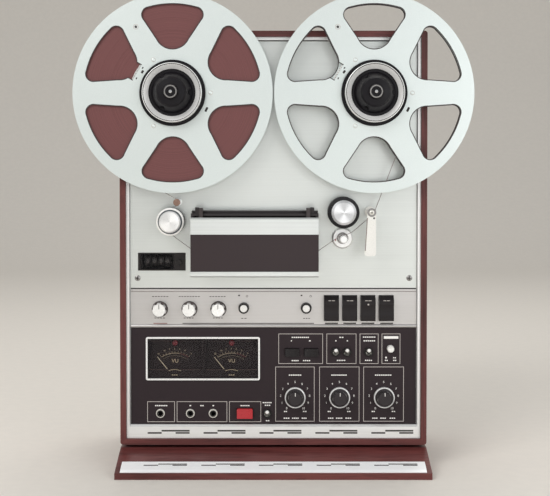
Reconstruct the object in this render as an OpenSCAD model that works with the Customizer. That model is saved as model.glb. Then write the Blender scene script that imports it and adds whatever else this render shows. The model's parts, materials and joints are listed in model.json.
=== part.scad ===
// Open-reel tape recorder: an upright wooden cabinet that stands on a sloping plinth,
// with two large metal reels, a tape transport, a control strip and an amplifier panel.
// Millimetres, +Z up, the front faces -Y, +X to the right as seen from the front.
// The origin lies on the floor, midway across, in the plane of the cabinet's front edge.

/* [Cabinet] */
// Width of the wooden cabinet
case_w = 415; // [405:1:440]
// Depth of the wooden cabinet
case_d = 210; // [190:1:250]
// Thickness of the cabinet's boards
board_t = 8; // [7:0.5:12]
// Radius of the cabinet's outer corners
corner_r = 4; // [2:0.5:6]
// How far the panels lie behind the cabinet's front edge
panel_recess = 9; // [6:0.5:12]
// Thickness of the front panels
panel_t = 3; // [2:0.5:4]
// Width of the rebate that the rear cover sits in
rebate_w = 4; // [2:0.5:5]
// Thickness of the rear cover
cover_t = 4; // [3:0.5:6]

/* [Plinth] */
// Height of the plinth under the cabinet
plinth_h = 27.2; // [20:0.2:34]
// Height of the plinth's front edge
lip_h = 8.4; // [7:0.1:15]
// How far the plinth reaches in front of the cabinet
apron = 62; // [50:1:80]
// How far behind the cabinet's front the slope begins
slope_back = 2; // [0:1:10]
// How far the plinth stays in front of the cabinet's back
plinth_inset = 5; // [0:1:20]
// Height of the rubber feet between plinth and cabinet
foot_h = 4; // [3:0.5:8]
// Radius of a rubber foot
foot_r = 12; // [8:1:16]
// Distance of the metal strip's rear edge in front of the cabinet
strip_near = 36; // [28:1:40]
// Distance of the metal strip's front edge in front of the cabinet
strip_far = 60.5; // [50:0.5:61]
// Thickness of the metal strip
strip_t = 1.6; // [1:0.1:2.5]
// Width of the strip's bevelled front lip
strip_bevel = 5; // [3:0.5:8]
// Distance of the strip's slots in front of its rear edge
strip_slots = 7.4; // [5:0.1:10]
// How far the strip stays in from the plinth's ends
strip_inset = 7; // [4:0.5:12]

/* [Front panels] */
// Width of the bright trim inside the wood
trim_w = 4; // [3:0.2:6]
// How far the trim stands proud of the panels
trim_proud = 5; // [2:0.5:6]
// Gap between the trim and the panels
panel_gap = 1.2; // [0.6:0.1:2]
// Height of the bottom rail of the trim
rail_h = 18.2; // [16:0.2:22]
// Width of the bevel along the bottom rail's upper edge
rail_bevel = 2.6; // [1:0.1:4]
// Height of the black amplifier panel
amp_h = 131; // [128:0.5:136]
// Height of the control strip
control_h = 52.5; // [51:0.1:58]
// Height of the brushed deck plate
deck_h = 335.5; // [330:0.5:350]
// Seam between two panels
seam = 0.4; // [0.3:0.1:0.8]
// Radius of the polished nose along the control strip's lower edge
nose_r = 2.3; // [1.5:0.1:3]
// Groove below the control strip's upper edge
groove_drop = 3.1; // [2.5:0.1:5]

/* [Vent slots] */
// Number of slot groups in the bottom rail and in the plinth strip
slot_groups = 5; // [3:1:6]
// Distance from one slot group to the next
slot_pitch = 76; // [60:0.5:77]
// How far the slot groups lie right of the centre
slot_shift = 9.5; // [0:0.5:10]
// Length of one slot segment
slot_len = 19; // [12:0.1:19.2]
// Height of a slot in the bottom rail
slot_h = 1.8; // [1:0.1:2.4]
// Distance between the two slot rows
slot_rows = 3; // [2.6:0.1:5]
// Depth of a slot
slot_depth = 1; // [0.5:0.1:1.2]

/* [Reels] */
// Diameter of a reel
reel_d = 266.7; // [255:0.1:268]
// Gap between the two reels
reel_gap = 1.8; // [1:0.1:4]
// Distance of the reel centres below the deck plate's top edge
reel_drop = 71.3; // [62:0.1:75]
// Distance of a reel's front face in front of the panels
reel_stand = 27; // [25:0.5:32]
// Width of a reel over both flanges
reel_w = 11.5; // [11:0.1:14]
// Thickness of a reel flange
flange_t = 1.5; // [1:0.1:2]
// Diameter of the drum that the tape winds on
drum_d = 114.3; // [100:0.1:115]
// Diameter of the reel's centre bore
bore_d = 76.2; // [70:0.1:80]
// Width of the rim outside the windows
rim_w = 14.1; // [10:0.1:18]
// Number of windows in a flange
windows = 6; // [3:1:6]
// Distance of a window's inner end from the reel's axis
window_in = 57.6; // [55:0.1:62]
// Half width of a window at its outer corners
window_half = 41.6; // [36:0.1:43]
// Radius of a window's outer corners
window_corner = 11; // [6:0.5:12]
// Radius of a window's inner end
window_nose = 24.3; // [20:0.1:26]
// Half width of the threading notch in a front flange
notch_half = 12.5; // [8:0.5:14]
// Distance of the threading notch's floor from the reel's axis
notch_in = 54.2; // [50:0.1:56]
// Outer radius of the tape wound on the supply reel
pack_r = 121; // [80:1:124]
// Width of the tape
tape_w = 6.35; // [6:0.05:6.5]
// Thickness at which the tape is drawn
tape_t = 0.2; // [0.15:0.05:0.3]

/* [Hub adapters] */
// Radius of an adapter's black base flange
base_r = 44; // [42:0.5:47]
// Outer radius of the bright clamping ring
ring_r = 39.2; // [36:0.1:41]
// Inner radius of the bright clamping ring
ring_in = 31.5; // [28:0.1:33]
// How far the clamping ring stands proud of the reel
ring_proud = 16; // [12:0.5:20]
// How far the clamping ring's inner edge lies behind its rim
ring_dish = 5; // [2:0.5:6]
// How far the adapter's nose stands proud of the reel
nose_proud = 35; // [28:0.5:40]
// Radius of the reel spindle
spindle_r = 4; // [3:0.1:5]
// Radius of the reel table behind the reel
table_r = 45; // [40:0.5:50]

/* [Tape transport] */
// Distance of the guide roller left of the centre
roller_x = 137.5; // [130:0.5:145]
// Distance of the guide roller below the reels' lowest point
roller_drop = 38.3; // [36:0.1:45]
// Radius of the guide roller's drum
roller_r = 13; // [11:0.1:14]
// Radius of the guide roller's flanges
roller_flange_r = 18.6; // [15:0.1:19]
// How far the guide roller stands proud of the deck plate
roller_proud = 40; // [36:0.5:45]
// Distance of the small guide pin left of the centre
pin_x = 129; // [126:0.5:132]
// Distance of the small guide pin below the reels' lowest point
pin_drop = 12.5; // [10:0.1:13]
// Radius of the small guide pin
pin_r = 3; // [2:0.1:3.2]
// Radius of the guide posts in the head block
guide_r = 4; // [3:0.1:5]
// Distance of the capstan right of the centre
capstan_x = 93.5; // [90:0.5:98]
// Distance of the capstan below the reels' lowest point
capstan_drop = 61.5; // [60:0.1:64]
// Radius of the capstan
capstan_r = 5.2; // [3:0.1:5.5]
// Radius of the bright collar round the capstan
collar_r = 14.4; // [12:0.1:15.5]
// Radius of the pinch roller
pinch_r = 21; // [18:0.1:21.5]
// Radius of the pinch roller's metal cap
pinch_cap_r = 16.3; // [12:0.1:17]
// Length of the arm that carries the pinch roller
pinch_arm_len = 48; // [44:0.5:50]
// Angle through which the pinch arm swings
pinch_swing = 10.4; // [6:0.1:10.6]
// Distance of the cue lever right of the centre
lever_x = 130.5; // [128:0.5:140]
// Distance of the cue lever's pivot below the reels' lowest point
lever_drop = 25.6; // [22:0.1:30]
// Radius of the cue lever's post
lever_post_r = 4; // [3:0.1:4.5]
// Length of the cue lever's blade below its pivot
blade_len = 58; // [45:0.5:62]

/* [Head block] */
// Left end of the head block, left of the centre
heads_left = 109.6; // [100:0.1:112]
// Right end of the head block, right of the centre
heads_right = 59.8; // [55:0.1:64]
// Distance of the head block's top below the reels' lowest point
heads_drop = 27; // [24:0.1:30]
// Height of the head cover
head_cover_h = 78.7; // [74:0.1:80]
// How far the head cover stands proud of the deck plate
head_cover_proud = 45; // [42:0.5:48]
// Height of the cover's bright upper band
band_h = 22.2; // [16:0.1:26]
// Height of the cover's bright lower lip
cover_lip_h = 7.3; // [5:0.1:9]
// Thickness of the head cover
head_cover_t = 8; // [6:0.5:10]
// Height of the hinge axis above the head cover
hinge_rise = 9.2; // [8:0.1:11]

/* [Controls] */
// Radius of a fluted selector knob
selector_r = 9.9; // [8:0.1:12]
// Number of flutes in a selector knob
selector_flutes = 7; // [5:1:9]
// How far a selector knob stands proud
selector_proud = 15; // [12:0.5:18]
// Radius of a round push button
button_r = 7; // [6:0.1:8]
// Width of a transport key
key_w = 19.8; // [16:0.1:20.5]
// Height of a transport key
key_h = 34.2; // [28:0.1:36]
// Distance from one transport key to the next
key_pitch = 24.8; // [23:0.1:26]
// How far a transport key stands proud
key_proud = 9; // [6:0.5:12]
// Radius of a level knob's outer ring
level_ring_r = 13.8; // [12:0.1:16]
// Radius of a level knob's inner knob
level_knob_r = 9.3; // [7:0.1:10]
// How far a level knob stands proud
level_proud = 20.5; // [18:0.5:24]
// Distance from one level knob to the next
level_pitch = 60.4; // [45:0.1:61]
// Width of the power button
power_w = 21.4; // [18:0.1:26]
// Height of the power button
power_h = 13.2; // [11:0.1:17]
// How far a toggle lever leans up at rest
toggle_tilt = 15; // [8:0.5:16]
// Length of a toggle lever in front of the panel
toggle_proud = 14; // [11:0.5:18]
// Bore radius of a phone jack
jack_bore_r = 3.2; // [2.8:0.05:3.5]
// Outer radius of a phone jack's nut
jack_r = 6.1; // [5:0.1:7]

/* [Meters] */
// Width of the bright frame round both meters
meter_frame_w = 155.1; // [152:0.1:162]
// Height of the bright frame round both meters
meter_frame_h = 58.9; // [58:0.1:64]
// Width of the bright frame's face
meter_line = 2.3; // [1.5:0.1:3]
// Length of a meter needle from its pivot
needle_len = 38; // [30:0.5:42]
// Angle of a needle left of upright at rest
needle_rest = 39; // [30:1:42]

/* [Hidden] */
$fn = 96;
seat = 0.2;
run = 0.08;
move_gap = 0.4;
air = 0.3;
back_t = 3;

// Heights of the front, from the floor up
panel_y = panel_recess;
panel_back = panel_y + panel_t;
case_z0 = plinth_h + foot_h;
inner_z0 = case_z0 + board_t;
rail_z0 = inner_z0 + seat;
amp_z0 = rail_z0 + rail_h + seam;
amp_top = amp_z0 + amp_h;
control_z0 = amp_top + seam;
control_top = control_z0 + control_h;
deck_z0 = control_top + seam;
deck_top = deck_z0 + deck_h;
trim_top = deck_top + panel_gap + trim_w;
case_top = trim_top + seat + board_t;
case_h = case_top - case_z0;
inner_w = case_w - 2 * board_t;
trim_out_w = inner_w - 2 * seat;
panel_w = trim_out_w - 2 * trim_w - 2 * panel_gap;

// Reels
reel_r = reel_d / 2;
reel_x = (reel_d + reel_gap) / 2;
reel_z = deck_top - reel_drop;
rim_z = reel_z - reel_r;
drum_r = drum_d / 2;
bore_r = bore_d / 2;
drum_w = reel_w - 2 * flange_t - 2 * run;
tape_mid = reel_stand - reel_w / 2;
spindle_hole_r = spindle_r + 2;

// Transport
roller = [-roller_x, rim_z - roller_drop];
pin = [-pin_x, rim_z - pin_drop];
capstan_at = [capstan_x, rim_z - capstan_drop];
pinch_on = capstan_at + [0, capstan_r + tape_t + 2 * air + pinch_r];
pinch_drop = 2 * pinch_arm_len * sin(pinch_swing / 2);
pinch_off = pinch_on + [0, pinch_drop];
pinch_pivot = (pinch_on + pinch_off) / 2 - [pinch_arm_len * cos(pinch_swing / 2), 0];
pinch_shaft_r = 4;
pinch_pivot_r = 4;
lever_at = [lever_x, rim_z - lever_drop];
heads_top = rim_z - heads_drop;
heads_w = heads_left + heads_right;
heads_x = (heads_right - heads_left) / 2;
head_cover_top = heads_top - 5.2;
head_cover_z0 = head_cover_top - head_cover_h;
guide_z = head_cover_z0 + 28.4;
guide_in = [-heads_left + 16.6, guide_z];
guide_out = [heads_right - 14.8, guide_z];
block_proud = head_cover_proud - head_cover_t - move_gap;
hinge_proud = block_proud - 5.6;
hinge_z = head_cover_top + hinge_rise;
hinge_pin_r = 1.6;
ear_w = 5;
ear_r = 3.5;
lug_w = 2 * ear_w + move_gap;
lug_in = 5.7;
counter_w = 64.3;
counter_h = 23.9;
counter_at = [-panel_w / 2 + 10.3 + counter_w / 2, rim_z - 93.8];
wheel_r = 9;
wheel_w = 7.4;
wheel_pitch = 9;
axle_r = 1.5;

// Control strip
control_z = control_z0 + 25.2;
selector_xs = [-154.4, -114.2, -74.9];
button_xs = [-40.3, 44.4];
key_x0 = 78.8;
key_z = control_z0 + 26.9;

// Amplifier panel
meter_margin = 20.6;
meter_x = -panel_w / 2 + meter_margin + meter_frame_w / 2;
meter_pitch = meter_frame_w / 2 - 0.05;
meter_z = amp_z0 + 89.3;
meter_pivot_drop = 28.4;
socket_z = amp_z0 + 14.4;
jack_xs = [-154, -113.3, -82.2];
power_x = -39;
level_z = amp_z0 + 37.2;
level_x0 = 29.4;
switch_xs = [25.2, 51.3];
switch_w = 18.6;
switch_h = 10.6;
switch_z = amp_z0 + 97.6;
toggle_z = amp_z0 + 98.2;
toggle_at = [[-8.5, socket_z], [84.6, toggle_z], [100, toggle_z], [129.4, toggle_z]];
monitor_at = [159, toggle_z + 5];
bushing_r = 5;
bushing_bore = 3.9;
toggle_pin_r = 0.8;

// Helpers

// Local frame on the panels' front face: x right, y up, z towards the viewer
module front(at, proud = 0)
    translate([at[0], panel_y - proud, at[1]]) rotate([90, 0, 0]) children();

// Prism between two distances in front of the panels, from an outline in x and z
module slab(proud_back, proud_front)
    front([0, 0], proud_back) linear_extrude(proud_front - proud_back) children();

// Prism along X, centred on x, from an outline in y and z
module along_x(x, w)
    translate([x - w / 2, 0, 0]) rotate([90, 0, 90]) linear_extrude(w) children();

// Rectangle with round corners, centred
module round_rect(w, h, r) {
    square([w - 2 * r, h], center = true);
    square([w, h - 2 * r], center = true);
    for (sx = [-1, 1])
        for (sy = [-1, 1])
            translate([sx * (w / 2 - r), sy * (h / 2 - r)])
                circle(r);
}

// Rectangle between two heights, as wide as given
module band_rect(w, z0, z1)
    translate([-w / 2, z0]) square([w, z1 - z0]);

// Groups of staggered slots along x, drawn about y = 0
module slot_pattern(h, rows) {
    group_w = 3 * slot_len;
    span = (slot_groups - 1) * slot_pitch + group_w;
    for (g = [0 : slot_groups - 1]) {
        x0 = slot_shift - span / 2 + g * slot_pitch;
        translate([x0, -rows / 2 - h / 2]) square([slot_len, h]);
        translate([x0 + slot_len, rows / 2 - h / 2]) square([2 * slot_len, h]);
        translate([x0 + 2 * slot_len, -rows / 2 - h / 2]) square([slot_len, h]);
    }
}

// Cabinet and plinth

module wooden_case()
    color("sienna")
        difference() {
            front([0, case_z0 + case_h / 2], panel_recess - case_d)
                linear_extrude(case_d)
                    difference() {
                        round_rect(case_w, case_h, corner_r);
                        square([inner_w, case_h - 2 * board_t], center = true);
                    }
            front([0, case_z0 + case_h / 2], panel_recess - case_d - 1)
                linear_extrude(cover_t + 1)
                    square([inner_w + 2 * rebate_w, case_h - 2 * board_t + 2 * rebate_w], center = true);
        }

connector_w = 170;
connector_h = 52;
connector_z = case_z0 + 60;
vent_rows = 9;
vent_pitch = 11;
vent_h = 4;
vent_len = 80;

module vent_slot() {
    square([vent_len, vent_h], center = true);
    for (s = [-1, 1])
        translate([s * vent_len / 2, 0])
            circle(vent_h / 2);
}

module rear_cover()
    color("dimgray")
        front([0, 0], panel_recess - case_d)
            linear_extrude(cover_t)
                difference() {
                    translate([0, case_z0 + case_h / 2])
                        square([inner_w + 2 * rebate_w - 2 * seat,
                            case_h - 2 * board_t + 2 * rebate_w - 2 * seat], center = true);
                    translate([0, connector_z])
                        square([connector_w, connector_h], center = true);
                    for (column = [-1, 0, 1])
                        for (row = [0 : vent_rows - 1])
                            translate([column * (vent_len + 24), reel_z - 20 + row * vent_pitch])
                                vent_slot();
                }

apron_slope = atan((plinth_h - lip_h) / (apron + slope_back));
function apron_z(t) = lip_h + (apron - t) * tan(apron_slope);
function apron_point(t, lift) = [-t - lift * sin(apron_slope), apron_z(t) + lift * cos(apron_slope)];

module plinth()
    color("saddlebrown")
        along_x(0, case_w)
            polygon([[-apron, 0], [-apron, lip_h], [slope_back, plinth_h],
                [case_d - plinth_inset, plinth_h], [case_d - plinth_inset, 0]]);

module plinth_strip()
    color("silver")
        difference() {
            along_x(0, case_w - 2 * strip_inset)
                polygon([apron_point(strip_near, run), apron_point(strip_near, strip_t),
                    apron_point(strip_far - strip_bevel, strip_t),
                    apron_point(strip_far, strip_t / 2), apron_point(strip_far, run)]);
            slot_mid = apron_point(strip_near + strip_slots, strip_t);
            translate([0, slot_mid[0], slot_mid[1]])
                rotate([apron_slope, 0, 0])
                    translate([0, 0, -slot_depth / 2])
                        linear_extrude(slot_depth)
                            slot_pattern(1, slot_rows);
        }

module rubber_feet()
    color("black")
        for (x = [-1, 1])
            for (y = [slope_back + 2 * foot_r, case_d - plinth_inset - 2 * foot_r])
                translate([x * (case_w / 2 - 40), y, plinth_h])
                    cylinder(r = foot_r, h = foot_h);

// Front panels

module trim_frame()
    color("gainsboro")
        difference() {
            slab(-panel_t, trim_proud)
                difference() {
                    band_rect(trim_out_w, rail_z0, trim_top);
                    band_rect(trim_out_w - 2 * trim_w, rail_z0 + rail_h, trim_top - trim_w);
                }
            front([0, rail_z0 + 0.475 * rail_h], trim_proud - slot_depth)
                linear_extrude(slot_depth + 1)
                    slot_pattern(slot_h, slot_rows);
            rail_y = panel_y - trim_proud;
            rail_top = rail_z0 + rail_h;
            along_x(0, trim_out_w - 2 * trim_w)
                polygon([[rail_y - 1, rail_top - rail_bevel - 1], [rail_y + rail_bevel + 1, rail_top + 1],
                    [rail_y - 1, rail_top + 1]]);
        }

// Holes that the deck plate and the chassis plate share, widened by the given amount
module deck_holes(extra) {
    for (side = [-1, 1])
        translate([side * reel_x, reel_z])
            circle(spindle_hole_r + extra);
    translate(capstan_at)
        circle(collar_r - 4 + seat + extra);
    translate(lever_at)
        circle(lever_post_r + move_gap + extra);
    for (at = [pinch_on, pinch_off])
        translate(at)
            circle(pinch_shaft_r + 2 * move_gap + extra);
    slot_w = 2 * (pinch_shaft_r + 2 * move_gap + extra);
    translate((pinch_on + pinch_off) / 2)
        square([slot_w, pinch_drop], center = true);
    translate(counter_at)
        square([counter_w + 2 * (seat + extra), counter_h + 2 * (seat + extra)], center = true);
}

module deck_plate()
    color("lightgray")
        slab(-panel_t, 0)
            difference() {
                band_rect(panel_w, deck_z0, deck_top);
                deck_holes(0);
            }

module control_plate()
    color("silver")
        difference() {
            union() {
                slab(-panel_t, 0)
                    difference() {
                        band_rect(panel_w, control_z0, control_top);
                        for (x = selector_xs)
                            translate([x, control_z])
                                circle(selector_shaft_r + move_gap);
                        for (x = button_xs)
                            translate([x, key_z])
                                circle(button_r + move_gap);
                        for (i = [0 : 3])
                            translate([key_x0 + i * key_pitch, key_z])
                                square([key_w + 2 * move_gap, key_h + 2 * move_gap], center = true);
                    }
                intersection() {
                    translate([-panel_w / 2, panel_y, control_z0 + nose_r])
                        rotate([0, 90, 0])
                            cylinder(r = nose_r, h = panel_w);
                    slab(-panel_t, 2 * nose_r)
                        band_rect(panel_w, control_z0, control_top);
                }
            }
            slab(-0.8, 1)
                band_rect(panel_w + 2, control_top - groove_drop - 0.8, control_top - groove_drop);
        }

module amplifier_panel()
    color("#39302f")
        slab(-panel_t, 0)
            difference() {
                band_rect(panel_w, amp_z0, amp_top);
                translate([meter_x, meter_z])
                    square([meter_frame_w - 2 * meter_line, meter_frame_h - 2 * meter_line], center = true);
                for (x = jack_xs)
                    translate([x, socket_z])
                        circle(jack_thread_r + seat);
                for (at = toggle_at)
                    translate(at)
                        circle(bushing_r + seat);
                translate([power_x, socket_z])
                    square([power_w + 2 * move_gap, power_h + 2 * move_gap], center = true);
                for (x = switch_xs)
                    translate([x, switch_z])
                        square([switch_w + 2 * move_gap, switch_h + 2 * move_gap], center = true);
                translate(monitor_at)
                    circle(monitor_shaft_r + move_gap);
                for (i = [0 : 2])
                    translate([level_x0 + i * level_pitch, level_z])
                        circle(level_tube_r + move_gap);
            }

// Inside the cabinet

rail_flange = 9;
rail_depth = 48;

module chassis()
    color("slategray") {
        slab(-panel_t - back_t, -panel_t)
            difference() {
                band_rect(inner_w - 2 * seat, deck_z0, deck_top);
                deck_holes(1);
            }
        slab(-panel_t - rail_depth, -panel_t)
            difference() {
                band_rect(inner_w - 2 * seat, rail_z0, deck_top);
                band_rect(inner_w - 2 * seat - 2 * back_t, rail_z0 + back_t, deck_top - back_t);
            }
        for (side = [-1, 1])
            slab(-panel_t - back_t, -panel_t)
                translate([side * (inner_w / 2 - seat - rail_flange / 2 - back_t) - rail_flange / 2 - back_t,
                    rail_z0])
                    square([rail_flange + 2 * back_t, deck_z0 - rail_z0 + back_t / 2]);
        front(pinch_pivot, -panel_t - back_t - 10)
            cylinder(r = pinch_pivot_r, h = 10);
    }

motor_r = 50;
motor_len = 58;
flywheel_r = 42;
flywheel_t = 18;
flywheel_back = 40;
capstan_motor_r = 38;
capstan_motor_len = 36;
leg_ring_r = flywheel_r + 9;
leg_r = 4;
spindle_tail = 30;
capstan_tail = 24;

module reel_motor(x)
    front([x, reel_z], -panel_t - back_t)
        difference() {
            rotate_extrude()
                polygon([[0, 0], [motor_r, 0], [motor_r, -6], [motor_r - 4, -6],
                    [motor_r - 4, 6 - motor_len], [motor_r - 10, -motor_len], [0, -motor_len]]);
            translate([0, 0, -spindle_tail])
                cylinder(r = spindle_r + run, h = spindle_tail + 1);
        }

module capstan_motor()
    front(capstan_at, -panel_t - back_t) {
        difference() {
            translate([0, 0, -flywheel_back - capstan_motor_len])
                cylinder(r = capstan_motor_r, h = capstan_motor_len - 2);
            translate([0, 0, -flywheel_back - capstan_tail])
                cylinder(r = capstan_r + run, h = capstan_tail + 1);
        }
        for (a = [90, 210, 330])
            rotate([0, 0, a]) {
                translate([leg_ring_r, 0, -flywheel_back - 8])
                    cylinder(r = leg_r, h = flywheel_back + 8);
                translate([capstan_motor_r - 4, -leg_r, -flywheel_back - 8])
                    cube([leg_ring_r - capstan_motor_r + 4, 2 * leg_r, 6 - 0.5]);
            }
    }

module drive_motors()
    color("darkslategray") {
        reel_motor(-reel_x);
        reel_motor(reel_x);
        capstan_motor();
    }

board_w = 190;
board_d = 100;
board_rise = 12;

module circuit_board()
    translate([-150, case_d - cover_t - board_d - 16, inner_z0]) {
        translate([0, 0, board_rise])
            cube([board_w, board_d, 1.6]);
        for (x = [8, board_w - 8])
            for (y = [8, board_d - 8])
                translate([x, y, 0])
                    cylinder(r = 3, h = board_rise + 0.5);
        for (i = [0 : 3])
            translate([36 + i * 38, 56, board_rise + 1])
                cylinder(r = 9, h = 32);
    }

module transformer()
    translate([100, case_d - cover_t - 90, inner_z0]) {
        cube([76, 58, 64]);
        translate([14, -13, 10])
            cube([48, 84, 44]);
    }

module electronics()
    color("darkolivegreen") {
        circuit_board();
        transformer();
    }

module rear_connectors()
    color("darkgray") {
        rim = 5;
        plate_y = case_d - cover_t;
        difference() {
            union() {
                translate([-connector_w / 2 - rim, plate_y - 2, connector_z - connector_h / 2 - rim])
                    cube([connector_w + 2 * rim, 2, connector_h + 2 * rim]);
                for (i = [0 : 3])
                    for (row = [-1, 1])
                        translate([-60 + i * 24, plate_y - 3, connector_z + row * 11])
                            rotate([-90, 0, 0]) {
                                cylinder(r = 6.2, h = 4.5);
                                cylinder(r = 4.2, h = 11);
                            }
                translate([44, plate_y - 14, connector_z - 10])
                    cube([30, 16, 20]);
            }
            for (i = [0 : 3])
                for (row = [-1, 1])
                    translate([-60 + i * 24, plate_y, connector_z + row * 11])
                        rotate([-90, 0, 0])
                            cylinder(r = 1.6, h = 12);
            translate([47, plate_y - 10, connector_z - 7])
                cube([24, 14, 14]);
        }
        for (x = [54, 64])
            translate([x, plate_y - 11, connector_z])
                rotate([-90, 0, 0])
                    cylinder(r = 1.2, h = 10);
    }

// Reels

// Tangent side of a window: normal of the line that touches its nose and an outer corner
corner_x = window_half - window_corner;
corner_reach = reel_r - rim_w - window_corner + 0.1;
corner_y = sqrt(pow(corner_reach, 2) - pow(corner_x, 2));
nose_y = window_in + window_nose;
side_dir = atan2(corner_y - nose_y, corner_x);
side_len = norm([corner_x, corner_y - nose_y]);
side_normal = side_dir - acos((window_nose - window_corner) / side_len);
function on_circle(x, y, r, a) = [x + r * cos(a), y + r * sin(a)];

module reel_window() {
    nose_point = on_circle(0, nose_y, 0.99 * window_nose, side_normal);
    corner_point = on_circle(corner_x, corner_y, 0.99 * window_corner, side_normal);
    translate([0, nose_y])
        circle(window_nose);
    for (s = [-1, 1])
        translate([s * corner_x, corner_y])
            circle(window_corner);
    intersection() {
        circle(reel_r - rim_w);
        polygon([nose_point, corner_point, [corner_x, corner_y], 1.3 * [corner_x, corner_y],
            1.3 * [-corner_x, corner_y], [-corner_x, corner_y],
            [-corner_point[0], corner_point[1]], [-nose_point[0], nose_point[1]]]);
    }
}

key_slot_w = 5.6;
key_slot_r = bore_r + 3.2;

// Threading notch at the inner end of the upper left window
module threading_notch()
    rotate(360 / windows)
        translate([-notch_half, notch_in])
            square([2 * notch_half, window_in + window_nose / 3 - notch_in]);

module flange_outline()
    difference() {
        circle(reel_r);
        circle(bore_r);
        for (i = [0 : windows - 1])
            rotate(i * 360 / windows)
                reel_window();
        for (a = [30, 150, 270])
            rotate(a)
                translate([0, -key_slot_w / 2])
                    square([key_slot_r, key_slot_w]);
        rotate(119)
            translate([reel_r - 33, 0])
                circle(1.8);
    }

module reel(x)
    front([x, reel_z], reel_stand) {
        translate([0, 0, -flange_t])
            linear_extrude(flange_t)
                difference() {
                    flange_outline();
                    threading_notch();
                }
        translate([0, 0, -flange_t - run - drum_w])
            difference() {
                cylinder(r = drum_r, h = drum_w);
                translate([0, 0, -1])
                    cylinder(r = bore_r, h = drum_w + 2);
            }
        translate([0, 0, -reel_w])
            linear_extrude(flange_t)
                flange_outline();
    }

module supply_reel()
    color("lightgray") reel(-reel_x);

module takeup_reel()
    color("lightgray") reel(reel_x);

module supply_tape_pack()
    color("#82484a")
        front([-reel_x, reel_z], tape_mid - tape_w / 2)
            difference() {
                cylinder(r = pack_r, h = tape_w);
                translate([0, 0, -1])
                    cylinder(r = drum_r + run, h = tape_w + 2);
            }

// Adapter that clamps a reel on its spindle, with the reel table and shaft behind it
module hub_adapter(x)
    front([x, reel_z], reel_stand) {
        difference() {
            rotate_extrude()
                polygon([[spindle_r + run, run], [base_r, run], [base_r, 3], [base_r - 1.5, 4],
                    [ring_r, 4], [ring_r, ring_proud - 1],
                    [ring_r - 1, ring_proud], [ring_in, ring_proud - ring_dish],
                    [ring_in, ring_proud - 7], [ring_in - 4, ring_proud - 7], [20, nose_proud - 9],
                    [18, nose_proud - 6], [10, nose_proud - 5], [8.5, nose_proud],
                    [spindle_r + run, nose_proud]]);
            for (i = [0 : 2])
                rotate(i * 120)
                    translate([ring_in - 6, 0, ring_proud - 4])
                        cylinder(r = 4, h = nose_proud);
        }
        rotate_extrude()
            translate([spindle_r + run, -reel_w])
                square([bore_r - seat - spindle_r - run, reel_w]);
        table_face = -reel_w - run;
        deck_face = 1 - reel_stand;
        translate([0, 0, -reel_stand - panel_t - back_t - spindle_tail + 1])
            cylinder(r = spindle_r, h = reel_stand + panel_t + back_t + spindle_tail - 1 + nose_proud - 1);
        rotate_extrude()
            polygon([[0, table_face], [table_r, table_face], [table_r, table_face - 5], [22, table_face - 5],
                [18, deck_face], [0, deck_face]]);
    }

module supply_hub_adapter()
    color("#2b2b2d") hub_adapter(-reel_x);

module takeup_hub_adapter()
    color("#2b2b2d") hub_adapter(reel_x);

// Tape transport

axle_post_r = 4;

module tape_guides()
    color("whitesmoke") {
        front(capstan_at)
            difference() {
                union() {
                    rotate_extrude()
                        polygon([[0, 0], [collar_r, 0], [collar_r, 4], [collar_r - 2, 6], [0, 6]]);
                    translate([0, 0, -panel_t - back_t - 8])
                        cylinder(r = collar_r - 4, h = panel_t + back_t + 9);
                }
                translate([0, 0, -panel_t - back_t - 9])
                    cylinder(r = capstan_r + run, h = 40);
            }
        front(roller) {
            cylinder(r = axle_post_r, h = roller_proud - 6);
            cylinder(r = 9, h = 5);
        }
        front(pin) {
            cylinder(r = pin_r, h = tape_mid + tape_w / 2 + 2);
            cylinder(r = pin_r + 2, h = 3);
            translate([0, 0, tape_mid + tape_w / 2 + 0.6])
                cylinder(r = pin_r + 1.4, h = 2);
        }
        for (at = [guide_in, guide_out])
            front(at, block_t) {
                cylinder(r = guide_r, h = tape_mid - block_t + tape_w / 2 + 2);
                translate([0, 0, tape_mid - block_t + tape_w / 2 + 0.6])
                    cylinder(r = guide_r + 1.6, h = 1.6);
            }
    }

module guide_roller()
    color("gainsboro")
        front(roller) {
            drum0 = tape_mid - tape_w / 2 - 0.6;
            drum1 = tape_mid + tape_w / 2 + 0.6;
            rotate_extrude()
                polygon([[axle_post_r + run, drum0 - 2], [roller_flange_r, drum0 - 2],
                    [roller_flange_r, drum0], [roller_r, drum0], [roller_r, drum1], [roller_flange_r, drum1],
                    [roller_flange_r, drum1 + 6], [roller_flange_r - 1.2, drum1 + 7],
                    [roller_r + 0.7, drum1 + 7], [roller_r + 0.7, roller_proud - 1.5],
                    [roller_r - 1, roller_proud], [0, roller_proud], [0, roller_proud - 5],
                    [axle_post_r + run, roller_proud - 5]]);
        }

pinch_front = 37;
pinch_cap_t = 5;

module pinch_arm()
    color("slategray") {
        arm_proud = -panel_t - back_t - 7;
        difference() {
            slab(arm_proud, arm_proud + 4) {
                arm_dir = pinch_off - pinch_pivot;
                translate(pinch_pivot)
                    circle(9);
                translate(pinch_off)
                    circle(8);
                translate(pinch_pivot)
                    rotate(atan2(arm_dir[1], arm_dir[0]))
                        translate([0, -7])
                            square([pinch_arm_len, 14]);
            }
            front(pinch_pivot, arm_proud - 1)
                cylinder(r = pinch_pivot_r + run, h = 6);
        }
        front(pinch_off, arm_proud)
            cylinder(r = pinch_shaft_r, h = pinch_front - 4 - arm_proud);
    }

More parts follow.
